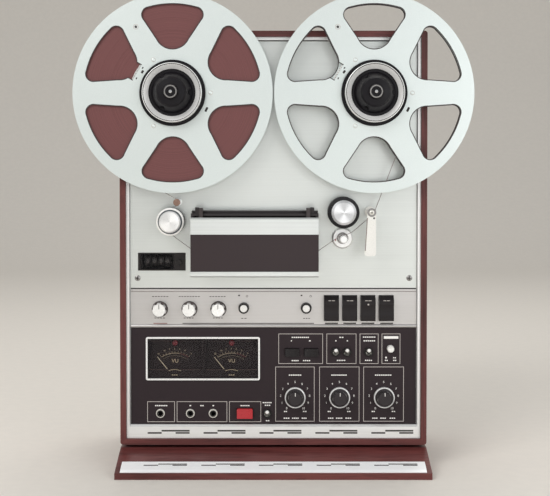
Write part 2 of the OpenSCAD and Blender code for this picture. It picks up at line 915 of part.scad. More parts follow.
module pinch_roller()
    color("#26262a")
        front(pinch_off)
            rotate_extrude()
                polygon([[pinch_shaft_r + run, 13], [pinch_r - 1, 13], [pinch_r, 14],
                    [pinch_r, pinch_front - 4], [pinch_r - 3, pinch_front - 1],
                    [pinch_cap_r, pinch_front - 1], [pinch_cap_r, pinch_front + 2],
                    [pinch_cap_r - 3, pinch_front + pinch_cap_t], [0, pinch_front + pinch_cap_t],
                    [0, pinch_front - 3], [pinch_shaft_r + run, pinch_front - 3]]);

module capstan()
    color("silver")
        front(capstan_at) {
            wheel_face = -panel_t - back_t - 10;
            translate([0, 0, -panel_t - back_t - flywheel_back - capstan_tail + 1])
                cylinder(r = capstan_r, h = panel_t + back_t + flywheel_back + capstan_tail + 36);
            difference() {
                translate([0, 0, wheel_face - flywheel_t])
                    cylinder(r = flywheel_r, h = flywheel_t);
                translate([0, 0, wheel_face - 4])
                    rotate_extrude()
                        translate([14, 0])
                            square([18, 6]);
            }
        }

module cue_lever()
    color("ivory")
        front(lever_at) {
            blade_proud = 34;
            blade_t = 2.6;
            top_r = 5.8;
            low_r = 4;
            low_half = 7.7;
            translate([0, 0, -panel_t - back_t - 6])
                cylinder(r = lever_post_r, h = panel_t + back_t + 6 + blade_proud + 0.5);
            translate([0, 0, 1])
                cylinder(r = lever_post_r + 3, h = 4);
            translate([0, 0, blade_proud])
                linear_extrude(blade_t) {
                    circle(top_r);
                    polygon([[-top_r, 0], [top_r, 0], [low_half - 1.9, low_r - blade_len],
                        [-low_half - 1.9, low_r - blade_len]]);
                    for (x = [-low_half + low_r, low_half - low_r])
                        translate([x - 1.9, low_r - blade_len])
                            circle(low_r);
                    translate([-low_half + low_r - 1.9, -blade_len])
                        square([2 * (low_half - low_r), low_r]);
                }
            translate([0, 0, blade_proud + blade_t])
                cylinder(r = 3.2, h = 1.6);
        }

// Tape path: circles that it passes, each a centre and a radius to the tape's middle.
// The radius is positive where the centre lies left of the tape as it runs.
half_t = tape_t / 2;
tape_path = [
    [[-reel_x, reel_z], pack_r + air + half_t],
    [pin, -(pin_r + air + half_t)],
    [roller, roller_r + air + half_t],
    [guide_in, guide_r + air + half_t],
    [guide_out, guide_r + air + half_t],
    [capstan_at, -(capstan_r + air + half_t)],
    [pinch_on, pinch_r + air + half_t],
    [lever_at, lever_post_r + air + half_t],
    [[reel_x, reel_z], drum_r + air + half_t]];
path_n = len(tape_path);

function heading(i) =
    let (
        gap = tape_path[i + 1][0] - tape_path[i][0],
        step = tape_path[i + 1][1] - tape_path[i][1],
        run_len = sqrt(gap * gap - step * step)
    )
    atan2(gap[1], gap[0]) - atan2(step, run_len);

function wrap_point(i, h, side) =
    let (
        r = tape_path[i][1],
        turn = r > 0 ? -90 : 90,
        reach = abs(r) + (r > 0 ? -side : side) * half_t
    )
    tape_path[i][0] + reach * [cos(h + turn), sin(h + turn)];

wrap_steps = 8;

function tape_edge(side) = [
    for (i = [0 : path_n - 1])
        let (
            h_in = i == 0 ? heading(0) : heading(i - 1),
            h_out = i == path_n - 1 ? heading(i - 1) : heading(i),
            steps = h_in == h_out ? 0 : wrap_steps
        )
        for (k = [0 : steps])
            wrap_point(i, steps == 0 ? h_in : h_in + (h_out - h_in) * k / steps, side)];

function reversed(list) = [for (i = [len(list) - 1 : -1 : 0]) list[i]];

module tape_run()
    color("#5d3233")
        slab(tape_mid - tape_w / 2, tape_mid + tape_w / 2)
            polygon(concat(tape_edge(1), reversed(tape_edge(-1))));

// Head block and its cover

block_t = 4;
wall_t = 3;
head_w = 15;
head_h = 20;
lug_h = 8;
lug_xs = [heads_x - heads_w / 2 + lug_in + lug_w / 2, heads_x + heads_w / 2 - lug_in - lug_w / 2];

module head_block()
    color("#242427")
        difference() {
            union() {
                slab(0, block_t)
                    translate([heads_x - heads_w / 2, head_cover_z0 + cover_lip_h])
                        square([heads_w, heads_top - head_cover_z0 - cover_lip_h]);
                slab(0, block_proud)
                    translate([heads_x - heads_w / 2, heads_top - wall_t])
                        square([heads_w, wall_t]);
                for (x = [heads_x - heads_w / 2, heads_x + heads_w / 2 - wall_t])
                    slab(0, block_proud)
                        translate([x, guide_z + 24])
                            square([wall_t, heads_top - guide_z - 24]);
                for (i = [0, 1])
                    slab(hinge_proud - 4, hinge_proud + 4)
                        translate([i == 0 ? lug_xs[0] - lug_w / 2 : lug_xs[1] + lug_w / 2 - ear_w,
                            heads_top - 1])
                            square([ear_w, lug_h + 1]);
            }
            for (x = lug_xs)
                translate([x - lug_w, panel_y - hinge_proud, hinge_z])
                    rotate([0, 90, 0])
                        cylinder(r = hinge_pin_r + run, h = 2 * lug_w);
        }

module tape_heads()
    color("lightsteelblue") {
        tape_top = guide_z - guide_r - air;
        for (i = [0 : 2])
            slab(block_t, tape_mid + tape_w / 2 + 3)
                translate([heads_x - 36 + i * 36, tape_top + run]) {
                    translate([0, 4 + head_h / 2])
                        square([head_w, head_h], center = true);
                    intersection() {
                        translate([0, head_w / 2])
                            circle(head_w / 2);
                        translate([-head_w / 2, 0])
                            square([head_w, 5]);
                    }
                }
    }

module head_cover()
    color("gainsboro") {
        rear = head_cover_proud - head_cover_t;
        inset = 1.5;
        along_x(heads_x, heads_w)
            polygon([
                    [panel_y - rear, head_cover_z0 + cover_lip_h + 4],
                    [panel_y - rear, head_cover_top],
                    [panel_y - head_cover_proud + 2, head_cover_top],
                    [panel_y - head_cover_proud, head_cover_top - 2],
                    [panel_y - head_cover_proud, head_cover_top - band_h],
                    [panel_y - head_cover_proud + 3, head_cover_top - band_h],
                    [panel_y - head_cover_proud + 3, head_cover_z0 + cover_lip_h],
                    [panel_y - head_cover_proud - inset, head_cover_z0 + cover_lip_h],
                    [panel_y - head_cover_proud - inset, head_cover_z0 + 1.5],
                    [panel_y - head_cover_proud, head_cover_z0],
                    [panel_y - rear - 2, head_cover_z0]]);
        for (i = [0, 1]) {
            ear_x = i == 0 ? lug_xs[0] + lug_w / 2 - ear_w / 2 : lug_xs[1] - lug_w / 2 + ear_w / 2;
            along_x(ear_x, ear_w) {
                translate([panel_y - hinge_proud, hinge_z])
                    circle(ear_r);
                translate([panel_y - rear - 4, hinge_z - ear_r])
                    square([rear + 4 - hinge_proud, 2 * ear_r]);
                translate([panel_y - rear - 4, head_cover_top - 1])
                    square([4, hinge_rise + 1]);
            }
            pin_x0 = i == 0 ? lug_xs[0] - lug_w / 2 : lug_xs[1] - lug_w / 2 + ear_w / 2;
            translate([pin_x0, panel_y - hinge_proud, hinge_z])
                rotate([0, 90, 0])
                    cylinder(r = hinge_pin_r, h = lug_w - ear_w / 2);
        }
    }

module head_cover_plate()
    color("#3a3133")
        slab(head_cover_proud - 3 + run, head_cover_proud - 0.6)
            translate([heads_x - heads_w / 2, head_cover_z0 + cover_lip_h + run])
                square([heads_w, head_cover_h - band_h - cover_lip_h - 2 * run]);

// Tape counter

counter_depth = 30;
counter_face = 1.5;
wheel_depth = 14;
counter_window_w = 42;
counter_window_h = 13;
wheel_x0 = -13.5;

module counter_case()
    color("#1f1d1f")
        front(counter_at) {
            difference() {
                translate([0, 0, -counter_depth])
                    linear_extrude(counter_depth + counter_face)
                        square([counter_w, counter_h], center = true);
                translate([-6, 0, -counter_depth + 3])
                    linear_extrude(counter_depth)
                        square([counter_window_w, counter_h - 3], center = true);
                translate([-6, 0, -1])
                    linear_extrude(counter_face + 2)
                        square([counter_window_w + 4, counter_window_h + 7.5], center = true);
            }
            translate([-6 - counter_window_w / 2 - 1, 0, -wheel_depth])
                rotate([0, 90, 0])
                    cylinder(r = axle_r, h = counter_window_w + 2);
            for (i = [0 : 2])
                translate([-6 + wheel_x0 + i * wheel_pitch, 0, -wheel_depth])
                    rotate([0, 90, 0])
                        difference() {
                            cylinder(r = wheel_r, h = wheel_w, center = true);
                            cylinder(r = axle_r + run, h = wheel_w + 2, center = true);
                        }
        }

module counter_units_wheel()
    color("whitesmoke")
        front(counter_at)
            translate([-6 + wheel_x0 + 3 * wheel_pitch, 0, -wheel_depth])
                rotate([0, 90, 0])
                    difference() {
                        cylinder(r = wheel_r, h = wheel_w, center = true);
                        cylinder(r = axle_r + run, h = wheel_w + 2, center = true);
                    }

// Meters

case_front = 3;
dial_depth = 9;
needle_depth = 6;
mask_h = 14;
pocket_w = meter_pitch - 8.5;
movement_depth = 28;

module meter_bezel()
    color("white")
        front([meter_x, meter_z])
            linear_extrude(2.2)
                difference() {
                    round_rect(meter_frame_w, meter_frame_h, 2.6);
                    square([meter_frame_w - 2 * meter_line, meter_frame_h - 2 * meter_line], center = true);
                }

module meter_movements()
    color("#2a2526")
        for (s = [-1, 1])
            front([meter_x + s * meter_pitch / 2, meter_z]) {
                open_h = meter_frame_h - 2 * meter_line;
                difference() {
                    translate([0, -4, -panel_t - movement_depth])
                        linear_extrude(movement_depth)
                            square([meter_pitch - 1, open_h + 14], center = true);
                    translate([0, -3.5, -dial_depth])
                        linear_extrude(dial_depth)
                            square([pocket_w, open_h + 5], center = true);
                }
                translate([0, -open_h / 2 + mask_h / 2 - 2, -panel_t - 2])
                    linear_extrude(2)
                        square([pocket_w + 2, mask_h], center = true);
                translate([0, -meter_pivot_drop, -dial_depth - 1])
                    cylinder(r = 1, h = dial_depth - panel_t);
            }

module meter_needle(s)
    color("ivory")
        front([meter_x + s * meter_pitch / 2, meter_z - meter_pivot_drop], -needle_depth - 1)
            rotate(needle_rest)
                linear_extrude(0.6)
                    difference() {
                        union() {
                            circle(2.6);
                            polygon([[-0.7, -4], [0.7, -4], [0.3, needle_len], [-0.3, needle_len]]);
                        }
                        circle(1 + run);
                    }

module meter_needle_left() meter_needle(-1);

module meter_needle_right() meter_needle(1);

module window_glass()
    color("lightcyan") {
        front([meter_x, meter_z], 0.2)
            linear_extrude(1.2)
                square([meter_frame_w - 2 * meter_line - 2 * seat,
                    meter_frame_h - 2 * meter_line - 2 * seat], center = true);
        front(counter_at, -0.8)
            translate([-6, 0, 0])
                linear_extrude(1.4)
                    square([counter_window_w + 4 - 2 * seat, counter_window_h + 7.5 - 2 * seat],
                        center = true);
    }

// Panel sockets, switches and knobs

jack_thread_r = 4.6;
jack_len = 22;

module jack_sockets()
    color("silver") {
        for (x = jack_xs)
            front([x, socket_z])
                difference() {
                    union() {
                        rotate_extrude()
                            polygon([[0, 0], [jack_r, 0], [jack_r, 1.8], [jack_r - 0.8, 2.6], [0, 2.6]]);
                        translate([0, 0, -jack_len - 3])
                            cylinder(r = jack_thread_r, h = jack_len + 4);
                    }
                    translate([0, 0, -jack_len])
                        cylinder(r = jack_bore_r, h = jack_len + 5);
                }
        for (at = toggle_at)
            front(at)
                difference() {
                    translate([0, 0, -panel_t - 9])
                        cylinder(r = bushing_r, h = panel_t + 9 + 4);
                    translate([0, 0, -panel_t - 6])
                        cylinder(r = bushing_bore, h = 30);
                }
    }

module toggle(i)
    color("whitesmoke")
        front(toggle_at[i], -2)
            rotate([-toggle_tilt, 0, 0]) {
                rotate_extrude()
                    polygon([[0, -3], [1.6, -3], [2.3, -1.2], [2.3, 1.2], [1.5, 3], [1.5, 4],
                        [2.3, toggle_proud - 3], [2.6, toggle_proud - 1], [2.2, toggle_proud + 1],
                        [1, toggle_proud + 2], [0, toggle_proud + 2]]);
                rotate([0, 90, 0])
                    cylinder(r = toggle_pin_r, h = 2 * (bushing_bore - move_gap / 2), center = true);
            }

module toggle_low() toggle(0);

module toggle_1() toggle(1);

module toggle_2() toggle(2);

module toggle_3() toggle(3);

selector_shaft_r = 3;

module selector_knob(i)
    color("gainsboro")
        front([selector_xs[i], control_z]) {
            difference() {
                rotate_extrude()
                    polygon([[0, move_gap], [selector_r + 0.6, move_gap], [selector_r + 0.6, 2.4],
                        [selector_r, 3], [selector_r, selector_proud - 2],
                        [selector_r - 1.6, selector_proud], [0, selector_proud]]);
                for (k = [0 : selector_flutes - 1])
                    rotate(90 + (k + 0.5) * 360 / selector_flutes)
                        translate([selector_r + 0.8, 0, 4])
                            cylinder(r = 2.4, h = selector_proud);
            }
            translate([0, 0, -panel_t - 14])
                cylinder(r = selector_shaft_r, h = panel_t + 15);
        }

module selector_knob_1() selector_knob(0);

module selector_knob_2() selector_knob(1);

module selector_knob_3() selector_knob(2);

module push_button(i)
    color("#232325")
        front([button_xs[i], key_z])
            difference() {
                rotate_extrude()
                    polygon([[0, -panel_t - 6], [button_r, -panel_t - 6], [button_r, 8],
                        [button_r - 0.8, 9], [0, 9]]);
                translate([0, 0, 8.4])
                    cylinder(r = 5, h = 2);
            }

module push_button_left() push_button(0);

module push_button_right() push_button(1);

module transport_key(i)
    color("#2a2629")
        difference() {
            along_x(key_x0 + i * key_pitch, key_w)
                polygon([[panel_y + panel_t + 6, key_z - key_h / 2],
                    [panel_y - key_proud + 1.6, key_z - key_h / 2],
                    [panel_y - key_proud + 0.6, key_z - key_h / 2 + 1.2],
                    [panel_y - key_proud, key_z + key_h / 2 - 7],
                    [panel_y - key_proud + 0.8, key_z + key_h / 2 - 5],
                    [panel_y - 3.5, key_z + key_h / 2], [panel_y + panel_t + 6, key_z + key_h / 2]]);
            dish_r = 42;
            translate([key_x0 + i * key_pitch - key_w, panel_y - key_proud - dish_r + 0.9, key_z - 3])
                rotate([0, 90, 0])
                    cylinder(r = dish_r, h = 2 * key_w);
        }

module key_1() transport_key(0);

module key_2() transport_key(1);

module key_3() transport_key(2);

module key_4() transport_key(3);

power_proud = 6;

module power_button()
    color("crimson")
        front([power_x, socket_z], -panel_t - 6)
            difference() {
                linear_extrude(panel_t + 6 + power_proud)
                    round_rect(power_w, power_h, 1.2);
                translate([0, 0, panel_t + 6 + power_proud + 58.8])
                    rotate([90, 0, 0])
                        cylinder(r = 60, h = 2 * power_h, center = true);
            }

module speed_switch(i)
    color("#1c1a1b")
        front([switch_xs[i], switch_z], -panel_t - 6)
            difference() {
                linear_extrude(panel_t + 6 + 4.5)
                    round_rect(switch_w, switch_h, 0.8);
                translate([0, 0, panel_t + 6 + 4.5 + 39.2])
                    rotate([90, 0, 0])
                        cylinder(r = 40, h = 2 * switch_h, center = true);
            }

module speed_switch_1() speed_switch(0);

module speed_switch_2() speed_switch(1);

monitor_r = 4.8;
monitor_shaft_r = 2;

module monitor_knob()
    color("whitesmoke")
        front(monitor_at) {
            difference() {
                rotate_extrude()
                    polygon([[0, move_gap], [monitor_r, move_gap], [monitor_r, 8],
                        [monitor_r - 1, 10], [0, 10]]);
                translate([-0.5, 1.5, 8.6])
                    cube([1, 5, 3]);
            }
            translate([0, 0, -panel_t - 10])
                cylinder(r = monitor_shaft_r, h = panel_t + 11);
        }

level_tube_r = 5;
level_shaft_r = 3.2;
level_split = 10;
grip_notches = 24;

module level_ring(i)
    color("gainsboro")
        front([level_x0 + i * level_pitch, level_z])
            rotate_extrude()
                polygon([[level_shaft_r + move_gap, -panel_t - 12], [level_tube_r, -panel_t - 12],
                    [level_tube_r, move_gap], [level_ring_r, move_gap], [level_ring_r, level_split - 4],
                    [level_ring_r - 1.6, level_split - 0.8], [level_ring_r - 2.6, level_split - move_gap],
                    [level_shaft_r + move_gap, level_split - move_gap]]);

module level_knob(i)
    color("#2e2a2d")
        front([level_x0 + i * level_pitch, level_z]) {
            difference() {
                rotate_extrude()
                    polygon([[0, level_split], [level_knob_r, level_split], [level_knob_r, level_proud - 1],
                        [level_knob_r - 1, level_proud], [0, level_proud]]);
                for (k = [0 : grip_notches - 1])
                    rotate((k + 0.5) * 360 / grip_notches)
                        translate([level_knob_r + 0.35, 0, level_split + 1])
                            cylinder(r = 0.8, h = level_proud);
                translate([-0.5, level_knob_r - 4, level_proud - 0.6])
                    cube([1, 6, 2]);
            }
            translate([0, 0, -panel_t - 18])
                cylinder(r = level_shaft_r, h = panel_t + 18 + level_split + 1);
        }

module level_ring_1() level_ring(0);

module level_ring_2() level_ring(1);

module level_ring_3() level_ring(2);

module level_knob_1() level_knob(0);

module level_knob_2() level_knob(1);

module level_knob_3() level_knob(2);

wooden_case();
rear_cover();
plinth();
plinth_strip();
rubber_feet();
trim_frame();
deck_plate();
control_plate();
amplifier_panel();
chassis();
drive_motors();
tape_guides();
head_block();
tape_heads();
tape_run();
counter_case();
meter_bezel();
meter_movements();
window_glass();
jack_sockets();
electronics();
rear_connectors();
supply_reel();
supply_tape_pack();
supply_hub_adapter();
takeup_reel();
takeup_hub_adapter();
guide_roller();
pinch_arm();
pinch_roller();
capstan();
cue_lever();
head_cover();
head_cover_plate();
counter_units_wheel();
selector_knob_1();
selector_knob_2();
selector_knob_3();
push_button_left();
push_button_right();
key_1();
key_2();
key_3();
key_4();
meter_needle_left();
meter_needle_right();
power_button();
toggle_low();
toggle_1();
toggle_2();
toggle_3();
monitor_knob();
speed_switch_1();
speed_switch_2();
level_ring_1();
level_ring_2();
level_ring_3();
level_knob_1();
level_knob_2();
level_knob_3();
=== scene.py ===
import json
import math

import bpy
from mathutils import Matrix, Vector


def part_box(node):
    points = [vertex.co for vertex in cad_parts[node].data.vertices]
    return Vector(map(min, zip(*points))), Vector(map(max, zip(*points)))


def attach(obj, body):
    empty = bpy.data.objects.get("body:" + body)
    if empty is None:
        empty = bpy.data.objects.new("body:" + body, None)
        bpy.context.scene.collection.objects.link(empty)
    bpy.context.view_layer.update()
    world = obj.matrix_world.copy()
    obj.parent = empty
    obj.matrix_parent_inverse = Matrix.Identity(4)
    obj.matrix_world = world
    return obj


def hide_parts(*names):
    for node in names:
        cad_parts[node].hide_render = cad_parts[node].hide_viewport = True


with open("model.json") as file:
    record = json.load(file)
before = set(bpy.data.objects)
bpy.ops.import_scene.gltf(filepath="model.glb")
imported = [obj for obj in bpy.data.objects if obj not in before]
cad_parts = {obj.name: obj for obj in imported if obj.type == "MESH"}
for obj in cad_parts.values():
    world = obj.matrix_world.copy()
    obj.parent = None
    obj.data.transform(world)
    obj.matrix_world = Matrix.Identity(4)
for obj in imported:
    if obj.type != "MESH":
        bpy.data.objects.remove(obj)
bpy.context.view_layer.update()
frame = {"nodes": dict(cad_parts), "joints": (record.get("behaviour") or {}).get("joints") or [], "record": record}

# Places and sizes of the recorder's pieces in millimetres, from the frame where it has them
MM = 0.001


def axle(joint_name):
    """Where a joint's axle stands, as seen from the front."""
    place = next(joint["pos_m"] for joint in frame["joints"] if joint["name"] == joint_name)
    return place[0] / MM, place[2] / MM


def middle(node):
    """Middle of a solid, as seen from the front."""
    low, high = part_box(node)
    return (low.x + high.x) / 2 / MM, (low.z + high.z) / 2 / MM


def extent(node):
    """Width and height of a solid, as seen from the front."""
    low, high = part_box(node)
    return (high.x - low.x) / MM, (high.z - low.z) / MM


def foot(node):
    """Height of a solid's lower edge."""
    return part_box(node)[0].z / MM


def proud_of_panels(node):
    """How far a solid stands out in front of the panels."""
    return PANEL_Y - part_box(node)[0].y / MM


# Panels, cabinet and back
PANEL_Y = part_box("amplifier_panel")[0].y / MM
BACK_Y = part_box("rear_cover")[1].y / MM
CASE_W, CASE_H = extent("wooden_case")
CASE_MID_Z = middle("wooden_case")[1]
AMP_FOOT = foot("amplifier_panel")
DECK_FOOT = foot("deck_plate")
TRIM_FRONT = proud_of_panels("trim_frame")
DECK_SCREW_X, DECK_SCREW_Z, DECK_SCREW_R = 184.5, DECK_FOOT + 14.7, 4.0
REAR_FACE = PANEL_Y - BACK_Y
REAR_SCREW_XS, REAR_SCREW_ZS = (-192, 0, 192), (38.0, 220.0, 400.0, 576.0)
CONNECTOR_FACE, CONNECTOR_Z = REAR_FACE - 4.0, AMP_FOOT + 33.2
PHONO_XS, PHONO_RISE = (-60, -36, -12, 12), 11

# Reels and tape
REEL_X, REEL_Z = axle("takeup_turn")
REEL_FRONT = 27.0
REEL_DRUM_R = 57.15
WINDOW_IN, WINDOW_OUT = 57.4, 127.0
CLIP_FACE = 25.45
TAPE_MID, TAPE_W = 21.25, 6.35
PACK_R = 121.0

# Transport and counter
PINCH_X, PINCH_Z = axle("pinch_roller_turn")
ROLLER_X, ROLLER_Z = axle("guide_roller_turn")
# Depth beyond which the guide roller is painted dark, a painted shadow round its front flange
ROLLER_LIT_DEPTH = 22.0
PIN_X, PIN_Z = ROLLER_X + 8.5, ROLLER_Z + 25.8
PIN_FRONT = 27.0
CAPSTAN_X, CAPSTAN_Z = axle("capstan_turn")
HINGE_FOOT = axle("head_cover_hinge")[1] - 9.05
HEADS_TOP = axle("head_cover_hinge")[1] - 4.0
LEVER_X, LEVER_Z = axle("cue_lever_turn")
LEVER_LEN = LEVER_Z - foot("cue_lever")
LEVER_HALF_TOP, LEVER_HALF_LOW = 5.8, 9.6
LEVER_FACE = 36.6
COUNTER_X, COUNTER_Z = axle("counter_wheel_turn")
COUNTER_FACE = -4.98

# Control strip
SELECTOR_XS = [axle(f"selector_{i}_turn")[0] for i in (1, 2, 3)]
SELECTOR_FRONT = proud_of_panels("selector_knob_1")
# Depth of the knob's bright front; behind it the knob's sides carry painted shade
SELECTOR_LIT_DEPTH = 2.1
CONTROL_Z = axle("selector_1_turn")[1]
BUTTON_XS = [middle(f"push_button_{side}")[0] for side in ("left", "right")]
BUTTON_Z = middle("push_button_left")[1]
KEY_XS = [middle(f"key_{i}")[0] for i in (1, 2, 3, 4)]

# Amplifier panel
LEVEL_XS = [axle(f"level_knob_{i}_turn")[0] for i in (1, 2, 3)]
LEVEL_Z = axle("level_knob_1_turn")[1]
METER_XS = [axle(f"needle_{side}_swing")[0] for side in ("left", "right")]
METER_PIVOT_Z = axle("needle_left_swing")[1]
METER_MID_X, METER_Z = middle("meter_bezel")
METER_FACE, METER_MASK = -8.98, -2.98
TOGGLE_NAMES = ("low", "1", "2", "3")
TOGGLES = [axle(f"toggle_{name}_throw") for name in TOGGLE_NAMES]
# Depth of the toggle's white tip; the shaft behind it is painted dark, a painted shade
TOGGLE_TIP = 7.5
JACK_XS, JACK_Z = (-154.0, -113.3, -82.2), TOGGLES[0][1]

# Printing, and how near two points of a mesh lie to become one
ON_PANEL = 0.0
PRINT_THICK, MARK_THICK = 0.06, 0.04
MERGE = 0.002


def spot(x, proud, z):
    """A point so many millimetres in front of the panels."""
    return Vector((x * MM, (PANEL_Y - proud) * MM, z * MM))


def clock_point(x, z, radius, angle):
    """A point round a centre, at an angle counted clockwise from upright."""
    a = math.radians(angle)
    return x + radius * math.sin(a), z + radius * math.cos(a)


# Hand tools

FORWARD = Vector((0, -1, 0))


def clear_selection():
    """Leave edit mode, with nothing selected."""
    if bpy.context.mode != "OBJECT":
        bpy.ops.object.mode_set(mode="OBJECT")
    bpy.ops.object.select_all(action="DESELECT")


def open_mesh():
    """Go into edit mode, to work on points."""
    bpy.ops.object.mode_set(mode="EDIT")
    bpy.ops.mesh.select_mode(type="VERT")


def close_mesh():
    """Merge the points that meet, turn the faces outwards and leave edit mode."""
    bpy.ops.mesh.select_all(action="SELECT")
    bpy.ops.mesh.remove_doubles(threshold=MERGE * MM)
    bpy.ops.mesh.normals_make_consistent(inside=False)
    bpy.ops.object.mode_set(mode="OBJECT")


def settle(name, finish, body, smooth_angle=32):
    """Name the piece just made, put its place in its mesh, and hang it on a body.
    Without a finish it keeps the ones it has."""
    piece = bpy.context.object
    bpy.ops.object.transform_apply(location=True, rotation=True, scale=True)
    piece.name = name
    piece.data.name = name
    if finish:
        piece.data.materials.clear()
        piece.data.materials.append(FINISHES[finish])
    bpy.ops.object.shade_smooth_by_angle(angle=math.radians(smooth_angle))
    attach(piece, body)
    return piece


def turned(outline, x, z, steps=96):
    """Turn an outline of radius and height in front of the panels, as on a lathe."""
    clear_selection()
    points = [spot(x + r, proud, z) for r, proud in outline]
    bpy.ops.mesh.primitive_plane_add(size=MM, location=points[0])
    open_mesh()
    bpy.ops.mesh.merge(type="CENTER")
    for here, there in zip(points, points[1:]):
        bpy.ops.mesh.extrude_vertices_move(TRANSFORM_OT_translate={"value": there - here})
    bpy.ops.mesh.select_all(action="SELECT")
    bpy.ops.mesh.spin(steps=steps, angle=2 * math.pi, center=spot(x, 0, z), axis=FORWARD)
    close_mesh()
    return bpy.context.object


def add_sheet(centre, tilt, stretch):
    """Add a flat sheet, tilted back from level, to the open mesh, or start a mesh with it."""
    bpy.ops.mesh.primitive_plane_add(size=MM, location=centre, rotation=(tilt, 0, 0))
    if bpy.context.mode == "OBJECT":
        bpy.ops.object.transform_apply(location=True, rotation=True, scale=True)
        open_mesh()
        bpy.ops.mesh.select_all(action="SELECT")
    bpy.ops.transform.resize(value=stretch, center_override=centre)


def add_plate(x, proud, z, w, h):
    """Add a flat plate that faces the viewer to the open mesh, or start a mesh with it."""
    add_sheet(spot(x, proud, z), math.pi / 2, (w, 1, h))


def raise_plates(thick, towards=FORWARD):
    """Give all plates of the open mesh their thickness and close it."""
    bpy.ops.mesh.select_all(action="SELECT")
    bpy.ops.mesh.extrude_region_move(TRANSFORM_OT_translate={"value": towards * (thick * MM)})
    close_mesh()


def printed_bars(bars, proud, thick=PRINT_THICK):
    """Flat strokes, each given by its middle, width and height."""
    clear_selection()
    for x, z, w, h in bars:
        add_plate(x, proud, z, w, h)
    raise_plates(thick)
    return bpy.context.object


def printed_frames(frames, proud, line=0.7):
    """Thin rectangular outlines, each given by its sides, foot and top."""
    clear_selection()
    for x0, x1, z0, z1 in frames:
        add_plate((x0 + x1) / 2, proud, (z0 + z1) / 2, x1 - x0, z1 - z0)
        bpy.ops.mesh.inset(thickness=line * MM, depth=0)
        bpy.ops.mesh.delete(type="FACE")
    raise_plates(PRINT_THICK)


def printed_arc(x, z, proud, inner, outer, start, end, thick=PRINT_THICK):
    """A band of a ring between two angles, counted clockwise from upright."""
    clear_selection()
    low_x, low_z = clock_point(x, z, inner, start)
    high_x, high_z = clock_point(x, z, outer, start)
    low, high = spot(low_x, proud, low_z), spot(high_x, proud, high_z)
    bpy.ops.mesh.primitive_plane_add(size=MM, location=low)
    open_mesh()
    bpy.ops.mesh.merge(type="CENTER")
    bpy.ops.mesh.extrude_vertices_move(TRANSFORM_OT_translate={"value": high - low})
    bpy.ops.mesh.select_all(action="SELECT")
    bpy.ops.mesh.spin(
        steps=48, angle=math.radians(end - start), center=spot(x, proud, z), axis=FORWARD
    )
    raise_plates(thick)
    return bpy.context.object


def swing_plate(x, proud, z, angle):
    """Swing the one plate of the open mesh about a point, clockwise."""
    bpy.ops.mesh.spin(
        steps=1, dupli=True, angle=math.radians(angle), center=spot(x, proud, z), axis=FORWARD
    )
    bpy.ops.mesh.select_all(action="INVERT")
    bpy.ops.mesh.delete(type="VERT")


def printed_fan(x, z, proud, radius, length, width, start, end, count):
    """Short strokes round a point, counted clockwise from upright."""
    clear_selection()
    add_plate(x, proud, z + radius, width, length)
    swing_plate(x, proud, z, start)
    bpy.ops.mesh.select_all(action="SELECT")
    bpy.ops.mesh.spin(
        steps=count - 1, dupli=True, angle=math.radians(end - start),
        center=spot(x, proud, z), axis=FORWARD,
    )
    raise_plates(PRINT_THICK)
    return bpy.context.object


def tilted_plate(x, proud, z, w, h, corner, segments, angle, thick):
    """A thin plate with rounded corners, tilted about its own middle."""
    clear_selection()
    add_plate(x, proud, z, w, h)
    bpy.ops.mesh.bevel(offset=corner * MM, segments=segments, affect="VERTICES")
    bpy.ops.mesh.select_all(action="SELECT")
    swing_plate(x, proud, z, -angle)
    raise_plates(thick)
    return bpy.context.object


def printed_number(words, x, z, proud, size):
    """A numeral on a dial, made a mesh before its place is applied."""
    clear_selection()
    bpy.ops.object.text_add(location=spot(x, proud, z), rotation=(math.pi / 2, 0, 0))
    words_object = bpy.context.object
    words_object.data.body = words
    words_object.data.size = size * MM
    words_object.data.align_x = "CENTER"
    words_object.data.align_y = "CENTER"
    words_object.data.extrude = PRINT_THICK * MM
    bpy.ops.object.convert(target="MESH")
    bpy.ops.object.transform_apply(location=True, rotation=True, scale=True)
    return bpy.context.object


def picked(pieces):
    """Select some pieces, the first as the active one."""
    clear_selection()
    for piece in pieces:
        piece.select_set(True)
    bpy.context.view_layer.objects.active = pieces[0]


def joined(pieces):
    """Make one piece of several."""
    picked(pieces)
    bpy.ops.object.join()


def rounded_block(x, proud, z, w, deep, h, edge, segments=3):
    """A block with eased edges; proud is the height of its middle."""
    clear_selection()
    centre = spot(x, proud, z)
    bpy.ops.mesh.primitive_cube_add(size=MM, location=centre)
    bpy.ops.object.transform_apply(location=True, rotation=True, scale=True)
    open_mesh()
    bpy.ops.mesh.select_all(action="SELECT")
    bpy.ops.transform.resize(value=(w, deep, h), center_override=centre)
    bpy.ops.mesh.bevel(offset=edge * MM, segments=segments, profile=0.5)
    close_mesh()


def screw(name, x, proud, z, radius, body, finish):
    """Domed screw head with a cross cut in its top."""
    dome = [
        (0, proud + radius * 0.42), (radius * 0.55, proud + radius * 0.38),
        (radius * 0.9, proud + radius * 0.2), (radius, proud), (0, proud),
    ]
    head = turned(dome, x, z, 32)
    head.data.materials.append(FINISHES[finish])
    cross = []
    cut_len, cut_w, cut_face, cut_thick = (radius * share for share in (1.2, 0.26, 0.36, 0.09))
    for w, h in ((cut_len, cut_w), (cut_w, cut_len)):
        cut = printed_bars([(x, z, w, h)], proud + cut_face, cut_thick)
        cut.data.materials.append(FINISHES["dark_print_and_painted_shade"])
        cross.append(cut)
    joined([head] + cross)
    settle(name, None, body, smooth_angle=30)


# Finishes

def new_finish(name):
    """A new material with its nodes, its links and its shader."""
    finish = bpy.data.materials.new(name)
    finish.use_nodes = True
    nodes = finish.node_tree.nodes
    return finish, nodes, finish.node_tree.links, nodes["Principled BSDF"]


